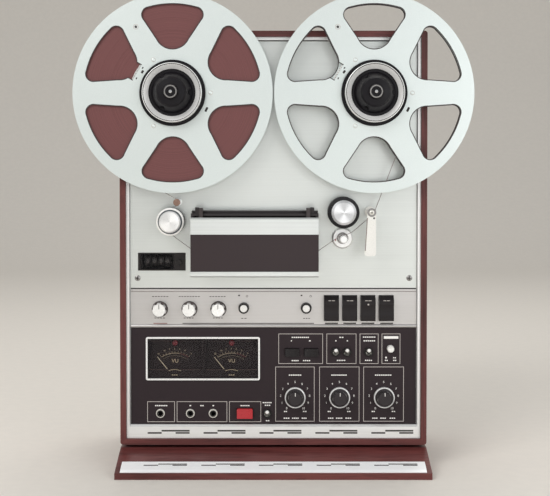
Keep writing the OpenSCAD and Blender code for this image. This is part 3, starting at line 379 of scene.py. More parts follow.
def object_pattern(nodes, links, stretch, scale, detail=4.0, centre=(0, 0, 0)):
    """Noise in the piece's own coordinates, in metres, stretched along an axis."""
    coords = nodes.new("ShaderNodeTexCoord")
    mapping = nodes.new("ShaderNodeMapping")
    noise = nodes.new("ShaderNodeTexNoise")
    mapping.inputs["Scale"].default_value = stretch
    mapping.inputs["Location"].default_value = centre
    noise.inputs["Scale"].default_value = scale
    noise.inputs["Detail"].default_value = detail
    links.new(coords.outputs["Object"], mapping.inputs["Vector"])
    links.new(mapping.outputs["Vector"], noise.inputs["Vector"])
    return noise


def two_tone(nodes, links, source, low, high, start=0.35, stop=0.65):
    """Colour between two tones by a pattern."""
    ramp = nodes.new("ShaderNodeValToRGB")
    ramp.color_ramp.elements[0].position = start
    ramp.color_ramp.elements[1].position = stop
    ramp.color_ramp.elements[0].color = (*low, 1)
    ramp.color_ramp.elements[1].color = (*high, 1)
    links.new(source, ramp.inputs["Fac"])
    return ramp.outputs["Color"]


def spread(nodes, links, source, low, high):
    """A number between two ends by a pattern."""
    span = nodes.new("ShaderNodeMapRange")
    span.inputs["From Min"].default_value = 0.3
    span.inputs["From Max"].default_value = 0.7
    span.inputs["To Min"].default_value = low
    span.inputs["To Max"].default_value = high
    links.new(source, span.inputs["Value"])
    return span.outputs["Result"]


def relief(nodes, links, source, shader, strength, distance):
    """Fine relief by a pattern, its depth in millimetres."""
    bump = nodes.new("ShaderNodeBump")
    bump.inputs["Strength"].default_value = strength
    bump.inputs["Distance"].default_value = distance * MM
    links.new(source, bump.inputs["Height"])
    links.new(bump.outputs["Normal"], shader.inputs["Normal"])


def shaded(colour, factor):
    """A colour made lighter or darker."""
    return tuple(min(1.0, c * factor) for c in colour)


def plain_finish(name, colour, rough, metal=0.0, grain=900, vary=0.08, bump=0.08, gloss=0.5,
                 coat=0.0, depth=0.05, stretch=(1, 1, 1)):
    """Paint, plastic, rubber or metal with a fine grain in colour, gloss and relief."""
    finish, nodes, links, shader = new_finish(name)
    noise = object_pattern(nodes, links, stretch, grain)
    colour_out = two_tone(
        nodes, links, noise.outputs["Fac"], shaded(colour, 1 - vary), shaded(colour, 1 + vary)
    )
    links.new(colour_out, shader.inputs["Base Color"])
    links.new(
        spread(nodes, links, noise.outputs["Fac"], rough * 0.85, min(1, rough * 1.15)),
        shader.inputs["Roughness"],
    )
    shader.inputs["Metallic"].default_value = metal
    shader.inputs["Coat Weight"].default_value = coat
    shader.inputs["Specular IOR Level"].default_value = gloss
    if bump:
        relief(nodes, links, noise.outputs["Fac"], shader, bump, depth)
    return finish


def brushed_finish(name, colour, rough, along="X", metal=0.9, vary=0.06, bump=0.12):
    """Metal brushed along one axis."""
    stretch = {"X": (4, 900, 900), "Z": (900, 900, 4), "Y": (900, 4, 900)}[along]
    return plain_finish(name, colour, rough, metal, 1, vary, bump, depth=0.02, stretch=stretch)


def wood_finish(name, dark, mid, light, rough, mitred):
    """Veneer: long grain, broader figure and fine pores; mitred boards turn the grain."""
    finish, nodes, links, shader = new_finish(name)
    coords = nodes.new("ShaderNodeTexCoord")
    lengthwise = nodes.new("ShaderNodeMapping")
    lengthwise.inputs["Scale"].default_value = (1.2, 16, 16)
    links.new(coords.outputs["Object"], lengthwise.inputs["Vector"])
    vector = lengthwise.outputs["Vector"]
    if mitred:
        upright = nodes.new("ShaderNodeMapping")
        upright.inputs["Scale"].default_value = (16, 16, 1.2)
        links.new(coords.outputs["Object"], upright.inputs["Vector"])
        split = nodes.new("ShaderNodeSeparateXYZ")
        links.new(coords.outputs["Object"], split.inputs["Vector"])
        inset_z = distance_inside(nodes, links, split.outputs["Z"], CASE_MID_Z, CASE_H)
        inset_x = distance_inside(nodes, links, split.outputs["X"], 0.0, CASE_W)
        on_side = nodes.new("ShaderNodeMath")
        on_side.operation = "LESS_THAN"
        links.new(inset_z, on_side.inputs[0])
        links.new(inset_x, on_side.inputs[1])
        turn = nodes.new("ShaderNodeMix")
        turn.data_type = "VECTOR"
        links.new(on_side.outputs["Value"], turn.inputs["Factor"])
        links.new(vector, turn.inputs["A"])
        links.new(upright.outputs["Vector"], turn.inputs["B"])
        vector = turn.outputs["Result"]
    figure = nodes.new("ShaderNodeTexNoise")
    figure.inputs["Scale"].default_value = 2.2
    figure.inputs["Detail"].default_value = 6
    figure.inputs["Distortion"].default_value = 0.6
    links.new(vector, figure.inputs["Vector"])
    pores = nodes.new("ShaderNodeTexNoise")
    pores.inputs["Scale"].default_value = 26
    pores.inputs["Detail"].default_value = 3
    links.new(vector, pores.inputs["Vector"])
    ramp = nodes.new("ShaderNodeValToRGB")
    ramp.color_ramp.elements[0].position = 0.32
    ramp.color_ramp.elements[0].color = (*dark, 1)
    ramp.color_ramp.elements[1].position = 0.72
    ramp.color_ramp.elements[1].color = (*light, 1)
    between = ramp.color_ramp.elements.new(0.5)
    between.color = (*mid, 1)
    links.new(figure.outputs["Fac"], ramp.inputs["Fac"])
    streaks = two_tone(nodes, links, pores.outputs["Fac"], (0.62, 0.62, 0.62), (1, 1, 1), 0.36, 0.5)
    blend = nodes.new("ShaderNodeMix")
    blend.data_type = "RGBA"
    blend.blend_type = "MULTIPLY"
    blend.inputs["Factor"].default_value = 0.75
    links.new(ramp.outputs["Color"], blend.inputs["A"])
    links.new(streaks, blend.inputs["B"])
    links.new(blend.outputs["Result"], shader.inputs["Base Color"])
    dulling = spread(nodes, links, pores.outputs["Fac"], rough * 1.2, rough * 0.85)
    links.new(dulling, shader.inputs["Roughness"])
    shader.inputs["Specular IOR Level"].default_value = 0.36
    relief(nodes, links, pores.outputs["Fac"], shader, 0.18, 0.12)
    return finish


def distance_inside(nodes, links, source, centre, width):
    """How far a coordinate lies beyond the middle, less half the width: negative inside."""
    shift = nodes.new("ShaderNodeMath")
    shift.operation = "SUBTRACT"
    shift.inputs[1].default_value = centre * MM
    links.new(source, shift.inputs[0])
    size = nodes.new("ShaderNodeMath")
    size.operation = "ABSOLUTE"
    links.new(shift.outputs["Value"], size.inputs[0])
    inside = nodes.new("ShaderNodeMath")
    inside.operation = "SUBTRACT"
    inside.inputs[1].default_value = width / 2 * MM
    links.new(size.outputs["Value"], inside.inputs[0])
    return inside.outputs["Value"]


def wound_finish(name, colour, rough):
    """Tape edges: fine rings about the supply reel's axle."""
    finish, nodes, links, shader = new_finish(name)
    coords = nodes.new("ShaderNodeTexCoord")
    mapping = nodes.new("ShaderNodeMapping")
    mapping.inputs["Location"].default_value = (REEL_X * MM, 0, -REEL_Z * MM)
    mapping.inputs["Scale"].default_value = (1, 0, 1)
    links.new(coords.outputs["Object"], mapping.inputs["Vector"])
    length = nodes.new("ShaderNodeVectorMath")
    length.operation = "LENGTH"
    links.new(mapping.outputs["Vector"], length.inputs[0])
    rings = nodes.new("ShaderNodeTexNoise")
    rings.noise_dimensions = "1D"
    rings.inputs["Scale"].default_value = 900
    rings.inputs["Detail"].default_value = 5
    links.new(length.outputs["Value"], rings.inputs["W"])
    tone = two_tone(nodes, links, rings.outputs["Fac"], shaded(colour, 0.86), shaded(colour, 1.14))
    links.new(tone, shader.inputs["Base Color"])
    dulling = spread(nodes, links, rings.outputs["Fac"], rough * 0.85, rough * 1.15)
    links.new(dulling, shader.inputs["Roughness"])
    relief(nodes, links, rings.outputs["Fac"], shader, 0.25, 0.05)
    return finish


def pane_finish(name):
    """Clear pane over the meters and the counter."""
    finish, nodes, links, shader = new_finish(name)
    noise = object_pattern(nodes, links, (1, 1, 1), 40)
    links.new(spread(nodes, links, noise.outputs["Fac"], 0.03, 0.07), shader.inputs["Roughness"])
    shader.inputs["Base Color"].default_value = (0.02, 0.02, 0.022, 1)
    shader.inputs["Specular IOR Level"].default_value = 0.35
    shader.inputs["Alpha"].default_value = 0.16
    return finish


def spun_finish(name, colour, rough, x, z, lobes=2, dim=0.86):
    """Metal faced on a lathe, with painted reflections: soft sectors of painted highlight and shade round its
    centre.
    """
    finish, nodes, links, shader = new_finish(name)
    coords = nodes.new("ShaderNodeTexCoord")
    split = nodes.new("ShaderNodeSeparateXYZ")
    links.new(coords.outputs["Object"], split.inputs["Vector"])
    offsets = []
    for axis, centre in (("Z", z), ("X", x)):
        offset = nodes.new("ShaderNodeMath")
        offset.operation = "SUBTRACT"
        offset.inputs[1].default_value = centre * MM
        links.new(split.outputs[axis], offset.inputs[0])
        offsets.append(offset.outputs["Value"])
    angle = nodes.new("ShaderNodeMath")
    angle.operation = "ARCTAN2"
    links.new(offsets[0], angle.inputs[0])
    links.new(offsets[1], angle.inputs[1])
    wave = nodes.new("ShaderNodeMath")
    wave.operation = "MULTIPLY"
    wave.inputs[1].default_value = lobes
    links.new(angle.outputs["Value"], wave.inputs[0])
    sine = nodes.new("ShaderNodeMath")
    sine.operation = "SINE"
    links.new(wave.outputs["Value"], sine.inputs[0])
    span = nodes.new("ShaderNodeMapRange")
    span.inputs["From Min"].default_value = -1.0
    links.new(sine.outputs["Value"], span.inputs["Value"])
    # Tones of the painted shade and painted highlight sectors
    shade, shine = shaded(colour, dim), shaded(colour, 1.05)
    tone = two_tone(nodes, links, span.outputs["Result"], shade, shine, 0.1, 0.9)
    links.new(tone, shader.inputs["Base Color"])
    grain = object_pattern(nodes, links, (1, 1, 1), 900)
    gloss = spread(nodes, links, grain.outputs["Fac"], rough * 0.9, rough * 1.1)
    links.new(gloss, shader.inputs["Roughness"])
    shader.inputs["Metallic"].default_value = 0.5
    return finish


def painted_beyond(finish, axis, limit, paint_colour):
    """Paint a metal finish where an axis's coordinate, in millimetres, is over a limit: two-tone paint, and
    painted shade on some pieces.
    """
    nodes, links = finish.node_tree.nodes, finish.node_tree.links
    shader = nodes["Principled BSDF"]
    bare_colour = shader.inputs["Base Color"].links[0].from_socket
    coords = nodes.new("ShaderNodeTexCoord")
    split = nodes.new("ShaderNodeSeparateXYZ")
    links.new(coords.outputs["Object"], split.inputs["Vector"])
    beyond = nodes.new("ShaderNodeMath")
    beyond.operation = "GREATER_THAN"
    beyond.inputs[1].default_value = limit * MM
    links.new(split.outputs[axis], beyond.inputs[0])
    paint = nodes.new("ShaderNodeMix")
    paint.data_type = "RGBA"
    paint.inputs["B"].default_value = (*paint_colour, 1)
    links.new(beyond.outputs["Value"], paint.inputs["Factor"])
    links.new(bare_colour, paint.inputs["A"])
    links.new(paint.outputs["Result"], shader.inputs["Base Color"])
    bare_metal = nodes.new("ShaderNodeMapRange")
    bare_metal.inputs["To Min"].default_value = shader.inputs["Metallic"].default_value
    bare_metal.inputs["To Max"].default_value = 0.0
    links.new(beyond.outputs["Value"], bare_metal.inputs["Value"])
    links.new(bare_metal.outputs["Result"], shader.inputs["Metallic"])
    return finish


# Plain finishes: colour, roughness, share of metal, grain, variation, relief, gloss and coat
PLAIN_FINISHES = {
    "rear_board": ((0.05, 0.045, 0.043), 0.62, 0, 500, 0.2, 0.25),
    "foot_rubber": ((0.03, 0.03, 0.03), 0.8, 0, 700, 0.2, 0.3),
    "black_panel": ((0.021, 0.0125, 0.0155), 0.45, 0, 1400, 0.12, 0.12, 0.26),
    "plated_steel": ((0.5, 0.5, 0.5), 0.4, 0.9, 300),
    "motor_metal": ((0.1, 0.11, 0.12), 0.5, 0.3, 400, 0.15),
    "polished_metal": ((0.8, 0.8, 0.8), 0.16, 1.0, 300, 0.04, 0.02),
    "jack_metal": ((0.78, 0.76, 0.7), 0.3, 0.6, 700, 0.06, 0.04),
    "collar_white": ((0.98, 0.98, 0.97), 0.42, 0.85, 700, 0.01, 0.02),
    # Guide pin cap: dark brown tint, a painted reflection
    "pin_dark_reflection": ((0.27, 0.17, 0.13), 0.34, 0.6, 700, 0.1, 0.05),
    # Dark bands round the reel windows: painted shadow
    "window_shadow_paint": ((0.036, 0.026, 0.026), 0.5, 0, 900, 0.1, 0.04),
    "dull_steel": ((0.3, 0.29, 0.28), 0.35, 0.8, 700, 0.08, 0.05),
    "black_housing": ((0.024, 0.02, 0.021), 0.5, 0, 1300, 0.15, 0.2, 0.35),
    "head_metal": ((0.6, 0.6, 0.62), 0.25, 1.0, 500, 0.05, 0.04),
    "tape_brown": ((0.13, 0.05, 0.045), 0.35, 0, 800, 0.1, 0.05),
    "counter_black": ((0.015, 0.012, 0.012), 0.35, 0, 1200, 0.15, 0.08, 0.3),
    "bezel_bright": ((0.84, 0.84, 0.83), 0.3, 0.4, 600, 0.05, 0.03),
    "meter_black": ((0.021, 0.013, 0.014), 0.6, 0, 1200, 0.05, 0.0, 0.25),
    "board_green": ((0.06, 0.16, 0.08), 0.45, 0, 300, 0.3, 0.1),
    "connector_metal": ((0.5, 0.5, 0.49), 0.35, 0.9, 500),
    "reel_aluminium": ((0.68, 0.735, 0.72), 0.42, 0.7, 1600, 0.04, 0.06),
    "adapter_black": ((0.006, 0.005, 0.007), 0.42, 0, 1300, 0.15, 0.12, 0.2),
    "roller_metal": ((0.74, 0.73, 0.7), 0.28, 0.9, 700, 0.05, 0.04),
    "roller_rubber": ((0.017, 0.016, 0.018), 0.6, 0, 1100, 0.2, 0.2, 0.3),
    "lever_ivory": ((0.8, 0.79, 0.75), 0.32, 0.2, 900, 0.05, 0.05),
    "cover_black": ((0.032, 0.021, 0.023), 0.36, 0, 1500, 0.12, 0.08, 0.3),
    "wheel_dark": ((0.016, 0.013, 0.013), 0.5, 0, 900, 0.15, 0.08, 0.3),
    "bright_knob": ((0.84, 0.84, 0.83), 0.2, 0.9, 600, 0.04, 0.03),
    "ring_satin": ((0.92, 0.92, 0.91), 0.34, 0.45, 500, 0.03, 0.02),
    "button_black": ((0.014, 0.012, 0.012), 0.35, 0, 1200, 0.15, 0.06, 0.35),
    "key_black": ((0.012, 0.009, 0.01), 0.34, 0, 1400, 0.15, 0.06, 0.28),
    "needle_ivory": ((0.85, 0.74, 0.52), 0.5, 0, 900, 0.05, 0.02),
    "red_plastic": ((0.44, 0.022, 0.03), 0.32, 0, 900, 0.08, 0.04),
    "toggle_white": ((0.82, 0.81, 0.78), 0.28, 0, 900, 0.04, 0.03),
    "switch_black": ((0.01, 0.008, 0.009), 0.3, 0, 1200, 0.15, 0.05, 0.3),
    "dark_knob": ((0.024, 0.019, 0.021), 0.4, 0, 1200, 0.15, 0.1, 0.35),
    "print_grey": ((0.5, 0.46, 0.43), 0.6, 0, 1500, 0.1, 0.03),
    "print_cream": ((0.62, 0.5, 0.33), 0.6, 0, 1500, 0.08, 0.03),
    "print_white": ((0.86, 0.84, 0.81), 0.6, 0, 1500, 0.06, 0.03),
    # Vent slots: painted shade inside them
    "slot_shade_olive": ((0.045, 0.042, 0.036), 0.55, 0, 1200, 0.12, 0.04, 0.3),
    # Dark print and lines, and painted shade: the nose reflections and the rings at the knob feet
    "dark_print_and_painted_shade": ((0.03, 0.024, 0.024), 0.6, 0, 1500, 0.15, 0.03, 0.3),
    "print_dim": ((0.13, 0.075, 0.065), 0.6, 0, 1500, 0.1, 0.03),
    "print_faint": ((0.2, 0.18, 0.17), 0.6, 0, 1500, 0.1, 0.03),
    # Brown groove line, and the painted shade on the cue lever's edge
    "brown_line_and_painted_shade": ((0.2, 0.165, 0.15), 0.6, 0, 1500, 0.1, 0.03),
    "print_maroon": ((0.1, 0.02, 0.02), 0.6, 0, 1500, 0.1, 0.03),
    # Brown-red stroke on the nose: a painted reflection
    "reflection_red": ((0.2, 0.07, 0.06), 0.6, 0, 1500, 0.1, 0.03),
    "lamp_red": ((0.22, 0.022, 0.03), 0.25, 0, 900, 0.1, 0.04, 0.5, 0.5),
}
FINISHES = {name: plain_finish(name, *values) for name, values in PLAIN_FINISHES.items()}
FINISHES.update({
    "case_wood": wood_finish(
        "case_wood", (0.064, 0.016, 0.014), (0.115, 0.029, 0.027), (0.152, 0.043, 0.038), 0.42, True
    ),
    "plinth_wood": wood_finish(
        "plinth_wood", (0.085, 0.021, 0.019), (0.14, 0.038, 0.036), (0.18, 0.053, 0.046), 0.33, False
    ),
    "satin_trim": brushed_finish("satin_trim", (0.86, 0.86, 0.85), 0.36, "X", 0.7, 0.02),
    "strip_white": brushed_finish("strip_white", (0.97, 0.975, 0.98), 0.36, "X", 0.1, 0.01),
    "brushed_deck": brushed_finish("brushed_deck", (0.69, 0.715, 0.69), 0.34, "X", 0.85, 0.02),
    "brushed_strip": brushed_finish("brushed_strip", (0.58, 0.565, 0.555), 0.34, "X", 0.85, 0.03),
    "tape_wound": wound_finish("tape_wound", (0.138, 0.042, 0.041), 0.45),
    "clear_pane": pane_finish("clear_pane"),
    "cover_silver": painted_beyond(
        brushed_finish("cover_silver", (0.705, 0.731, 0.718), 0.36, "X", 0.85, 0.04),
        "Z", HINGE_FOOT, (0.03, 0.022, 0.022),
    ),
    # Selector knobs: bright front, sides behind it painted dark, a painted shade
    "selector_metal_painted_shade": painted_beyond(
        plain_finish("selector_metal_painted_shade", (0.92, 0.92, 0.91), 0.24, 0.6, 600, 0.04, 0.03),
        "Y", PANEL_Y - SELECTOR_FRONT + SELECTOR_LIT_DEPTH, (0.11, 0.09, 0.085),
    ),
    # Guide roller: front flange bright, rear flange and drum painted dark, a painted shadow
    "roller_flange_painted_shade": painted_beyond(
        plain_finish("roller_flange_painted_shade", (0.96, 0.95, 0.92), 0.34, 0.3, 500, 0.03, 0.02),
        "Y", PANEL_Y - ROLLER_LIT_DEPTH, (0.03, 0.026, 0.026),
    ),
    # Toggles: white tip, shaft behind it painted dark, a painted shade
    "toggle_tip_painted_shade": painted_beyond(
        plain_finish("toggle_tip_painted_shade", (0.9, 0.89, 0.86), 0.28, 0, 900, 0.04, 0.03),
        "Y", PANEL_Y - TOGGLE_TIP, (0.02, 0.016, 0.017),
    ),
    # Roller caps: painted reflections, light and dark sectors round the axle in the base colour
    "pinch_face": spun_finish("pinch_face", (0.88, 0.89, 0.91), 0.3, PINCH_X, PINCH_Z, 3, 0.66),
    "roller_face": spun_finish("roller_face", (0.93, 0.93, 0.92), 0.3, ROLLER_X, ROLLER_Z, 2, 0.8),
})
NODE_FINISHES = {
    "guide_roller": "roller_flange_painted_shade", "tape_guides": "collar_white", "jack_sockets": "jack_metal",
    "plinth_strip": "strip_white", "counter_units_wheel": "wheel_dark",
    **{f"selector_knob_{i}": "selector_metal_painted_shade" for i in (1, 2, 3)},
    **{f"toggle_{name}": "toggle_tip_painted_shade" for name in TOGGLE_NAMES},
}


def dress_solids():
    """Give every solid its finish, by its own name or by its slot in the record."""
    for part in frame["record"]["subparts"]:
        solid = frame["nodes"][part["node"]]
        finish = FINISHES[NODE_FINISHES.get(part["node"], part["material_slot"])]
        if not solid.data.materials:
            solid.data.materials.append(finish)
        for index in range(len(solid.data.materials)):
            solid.data.materials[index] = finish


# Reels and hub adapters

def hub_adapter_trim(side, x, body):
    """Bright dished clamping ring, thin grey collar and spindle end on a hub adapter."""
    front = REEL_FRONT
    ring = [
        (31.3, front + 8.6), (31.3, front + 11.2), (31.8, front + 11.5), (37.9, front + 15.75),
        (38.6, front + 16.2), (39.1, front + 15.9), (39.45, front + 15.1), (39.45, front + 4.15),
        (38.6, front + 4.15), (38.6, front + 8.6), (31.3, front + 8.6),
    ]
    turned(ring, x, REEL_Z)
    settle(f"adapter_ring_{side}", "ring_satin", body)
    collar = [
        (6.9, front + 34.9), (6.9, front + 35.25), (8.2, front + 35.25), (8.75, front + 34.6),
        (8.75, front + 34.3), (6.9, front + 34.9),
    ]
    turned(collar, x, REEL_Z, 48)
    settle(f"adapter_collar_{side}", "dull_steel", body)
    tip = [
        (0, front + 35.9), (1.5, front + 35.8), (2.1, front + 35.3), (2.1, front + 33.8),
        (0, front + 33.8),
    ]
    turned(tip, x, REEL_Z, 32)
    settle(f"adapter_tip_{side}", "polished_metal", body)


def around(x, radius, angle):
    """A point on a reel's face at an angle counted from the right, against the clock."""
    a = math.radians(angle)
    return x + radius * math.cos(a), REEL_Z + radius * math.sin(a)


RIVET_REACH, RIVET_ANGLES, RIVET_RING = 50.7, (0, 120, 240), (2.45, 2.95)
HOLE_REACH, HOLE_ANGLE, HOLE_RING = 100.35, 119, (2.9, 3.6)
CLIP_REACH, CLIP_ANGLE = 55.6, 150
CLIP_W, CLIP_LEN, CLIP_CORNER, CLIP_THICK = 2.0, 21.0, 0.6, 0.9
# Width of the painted shadow bands round the reel windows, and the limit on how far a window wall's face may turn
# to the front
SHADOW_BAND_W, WALL_TILT = 1.2, 0.3
LAYER_STEPS = (0.0, 0.1, -0.05, 0.06, -0.1, 0.12, 0.0, -0.06, 0.08, 0.0, 0.05, -0.08)
DRUM_GAP, LAYER_GAP, LAYER_SHY = 0.1, 0.02, 0.12
# Reach, angle, width and height of a reel's dark slots, and their corners as a share of the width
REEL_SLOTS = (
    (50.1, -26, 3.0, 6.6), (48.9, 145, 3.0, 4.6), (51.8, 158, 1.6, 2.6), (51.8, 140, 1.6, 2.6),
)
REEL_SLOT_CORNER = 0.35


def reel_fittings(side, x, body):
    """Three rivets, a hole's ring, the dark slots and the clip that takes the tape's end."""
    dome = [
        (0, REEL_FRONT + 0.5), (1.3, REEL_FRONT + 0.45), (2.0, REEL_FRONT + 0.25),
        (2.4, REEL_FRONT - 0.05), (0, REEL_FRONT - 0.05),
    ]
    rivets, rings = [], []
    for angle in RIVET_ANGLES:
        cx, cz = around(x, RIVET_REACH, angle)
        rivets.append(turned(dome, cx, cz, 24))
        rings.append(printed_arc(cx, cz, REEL_FRONT, *RIVET_RING, 0, 360, MARK_THICK))
    joined(rivets)
    settle(f"reel_rivets_{side}", "reel_aluminium", body)
    cx, cz = around(x, HOLE_REACH, HOLE_ANGLE)
    rings.append(printed_arc(cx, cz, REEL_FRONT, *HOLE_RING, 0, 360, MARK_THICK))
    joined(rings)
    settle(f"reel_marks_{side}", "print_grey", body)
    slots = []
    for reach, angle, w, h in REEL_SLOTS:
        cx, cz = around(x, reach, angle)
        slots.append(
            tilted_plate(cx, REEL_FRONT, cz, w, h, w * REEL_SLOT_CORNER, 4, angle, PRINT_THICK)
        )
    joined(slots)
    settle(f"reel_slots_{side}", "dark_print_and_painted_shade", body)
    cx, cz = around(x, CLIP_REACH, CLIP_ANGLE)
    tilted_plate(cx, CLIP_FACE, cz, CLIP_W, CLIP_LEN, CLIP_CORNER, 3, CLIP_ANGLE, CLIP_THICK)
    settle(f"tape_clip_{side}", "roller_metal", body)


def window_lips(side, x, body):
    """Dark bands round a reel's windows, a painted shadow of the flange's window edges, raised from a copy of its
    own window walls.
    """
    shadow_bands = bpy.data.objects.new("window_lips", frame["nodes"][f"{side}_reel"].data.copy())
    bpy.context.scene.collection.objects.link(shadow_bands)
    picked([shadow_bands])
    open_mesh()
    bpy.ops.mesh.select_all(action="SELECT")
    bpy.ops.mesh.remove_doubles(threshold=MERGE * MM)
    bpy.ops.mesh.select_mode(type="FACE")
    bpy.ops.mesh.select_all(action="DESELECT")
    bpy.ops.object.mode_set(mode="OBJECT")
    for face in shadow_bands.data.polygons:
        reach = math.hypot(face.center.x - x * MM, face.center.z - REEL_Z * MM) / MM
        in_window = WINDOW_IN < reach < WINDOW_OUT
        face.select = not in_window or abs(face.normal.y) > WALL_TILT
    bpy.ops.object.mode_set(mode="EDIT")
    bpy.ops.mesh.delete(type="FACE")
    bpy.ops.object.mode_set(mode="OBJECT")
    bpy.ops.object.modifier_add(type="SOLIDIFY")
    wall = shadow_bands.modifiers[-1]
    wall.thickness = SHADOW_BAND_W * MM
    wall.offset = 1
    bpy.ops.object.modifier_apply(modifier=wall.name)
    settle(f"window_lips_{side}", "window_shadow_paint", body)


def supply_tape():
    """The wound tape, with a few layers that stand a little proud of the rest."""
    inner = REEL_DRUM_R + DRUM_GAP
    count = len(LAYER_STEPS)
    radii = [inner + (PACK_R - inner) * i / count for i in range(count + 1)]
    front_face = []
    for i, step in enumerate(LAYER_STEPS):
        proud = TAPE_MID + TAPE_W / 2 - LAYER_SHY + step
        front_face += [(radii[i], proud), (radii[i + 1] - LAYER_GAP, proud)]
    back_face = [(r, 2 * TAPE_MID - proud) for r, proud in reversed(front_face)]
    outline = front_face + back_face
    turned(outline + outline[:1], -REEL_X, REEL_Z, 160)
    wound = settle("supply_tape_wound", "tape_wound", "supply_reel")
    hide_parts("supply_tape_pack")


# Transport

COLLAR_DOT_X, COLLAR_DOT_Z = CAPSTAN_X - 9.6, CAPSTAN_Z - 2.4
LEVER_SCREW_SEAT, LEVER_SCREW_R = 38.2, 2.9
LEVER_PIN_X, LEVER_PIN_Z = LEVER_X + 3.0, LEVER_Z - 7.6
LEVER_EDGE_IN, LEVER_EDGE_W, LEVER_EDGE_SHORT, LEVER_EDGE_THICK = 0.55, 1.1, 14, 0.08
RIDGE_MID, RIDGE_DEEP, RIDGE_H, RIDGE_EDGE, RIDGE_SHORT = 20.4, 12.8, 3.4, 0.6, 1.0


def pinch_roller_cap():
    """Spun metal cap over the pinch roller, with a small boss at its middle."""
    cap = [
        (0, 42.75), (1.7, 42.7), (2.3, 42.35), (2.4, 42.12), (11.5, 42.2), (13.4, 42.15), (16.45, 39.1),
        (16.45, 36.1), (0, 36.1),
    ]
    turned(cap, PINCH_X, PINCH_Z, 72)
    # The cap's finish carries painted reflections in light and dark sectors
    settle("pinch_roller_cap", "pinch_face", "pinch_roller")


def guide_roller_cap():
    """Cap of the guide roller, and a thin dark ring round it, a painted shadow between cap and flange."""
    cap = [(0, 40.4), (9.6, 40.4), (12.6, 40.2), (14.3, 38.6), (14.3, 34.2), (0, 34.2)]
    turned(cap, ROLLER_X, ROLLER_Z, 72)
    # The cap's finish carries painted reflections in light and dark sectors
    settle("guide_roller_cap", "roller_face", "guide_roller")
    # Flat dark ring between cap and flange: painted shadow
    groove = [(14.0, 32.02), (14.0, 32.3), (16.2, 32.3), (16.4, 32.02), (14.0, 32.02)]
    turned(groove, ROLLER_X, ROLLER_Z, 72)
    settle("guide_roller_shadow_ring", "motor_metal", "guide_roller")


def guide_pin_cap():
    """End cap of the guide pin, tinted dark brown, a painted reflection of its dark surroundings."""
    cap = [
        (0, PIN_FRONT + 0.5), (1.1, PIN_FRONT + 0.5), (1.4, PIN_FRONT + 0.2), (3.2, PIN_FRONT + 0.5),
        (4.3, PIN_FRONT + 0.2), (4.75, PIN_FRONT - 0.4), (4.75, PIN_FRONT - 2.2),
        (4.5, PIN_FRONT - 2.2), (4.5, PIN_FRONT + 0.02), (0, PIN_FRONT + 0.02),
    ]
    turned(cap, PIN_X, PIN_Z, 40)
    settle("guide_pin_cap", "pin_dark_reflection", "recorder")


def capstan_tip():
    """Bright end of the capstan, and the ring and dot on its collar."""
    tip = [(0, 37.6), (3.9, 37.6), (5.3, 36.4), (5.3, 30.0), (0, 30.0)]
    turned(tip, CAPSTAN_X, CAPSTAN_Z, 48)
    settle("capstan_tip", "ring_satin", "capstan")
    washer = [(5.6, 6.0), (5.6, 6.5), (7.4, 6.5), (7.9, 6.0), (5.6, 6.0)]
    turned(washer, CAPSTAN_X, CAPSTAN_Z, 48)
    settle("capstan_washer", "dull_steel", "recorder")
    dot = [(0, 6.2), (0.9, 6.15), (1.1, 5.98), (0, 5.98)]
    turned(dot, COLLAR_DOT_X, COLLAR_DOT_Z, 16)
    settle("collar_dot", "red_plastic", "recorder")


def lever_pivot():
    """Washer, screw and pin at the cue lever's top, and a dark line of painted shade down its left edge."""
    washer = [(3.25, 36.65), (3.25, 37.5), (5.3, 37.5), (5.75, 37.0), (5.75, 36.65), (3.25, 36.65)]
    turned(washer, LEVER_X, LEVER_Z, 48)
    settle("lever_washer", "dull_steel", "cue_lever")
    screw(
        "lever_screw", LEVER_X, LEVER_SCREW_SEAT, LEVER_Z, LEVER_SCREW_R, "cue_lever",
        "jack_metal",
    )
    top_x = LEVER_X - LEVER_HALF_TOP + LEVER_EDGE_IN
    low_x = LEVER_X - LEVER_HALF_LOW + LEVER_EDGE_IN
    edge_x, edge_z = (top_x + low_x) / 2, LEVER_Z - LEVER_LEN / 2
    # Dark strip on the blade's left edge: painted shade
    clear_selection()
    add_plate(edge_x, LEVER_FACE, edge_z, LEVER_EDGE_W, LEVER_LEN - LEVER_EDGE_SHORT)
    lean = math.atan2(top_x - low_x, LEVER_LEN)
    bpy.ops.transform.rotate(
        value=-lean, orient_axis="Y", center_override=spot(edge_x, LEVER_FACE, edge_z)
    )
    raise_plates(LEVER_EDGE_THICK)
    settle("lever_edge_shade", "brown_line_and_painted_shade", "cue_lever")
    dot = [(0, 37.2), (1.0, 37.1), (1.3, 36.65), (1.3, 36.55), (0, 36.55)]
    turned(dot, LEVER_PIN_X, LEVER_PIN_Z, 16)
    settle("lever_pin", "dark_print_and_painted_shade", "cue_lever")


def hinge_ridge():
    """Black ridge along the top of the head block, behind the cover's hinge."""
    mid_x, mid_z = middle("head_block")[0], HEADS_TOP + RIDGE_H / 2
    width = extent("head_block")[0] - RIDGE_SHORT
    rounded_block(mid_x, RIDGE_MID, mid_z, width, RIDGE_DEEP, RIDGE_H, RIDGE_EDGE)
    settle("hinge_ridge", "black_housing", "recorder")


# Counter

WHEEL_X0, WHEEL_PITCH = COUNTER_X - 19.5, 9
RESET_X = COUNTER_X + 24
DIGIT_SIZE = 6.4


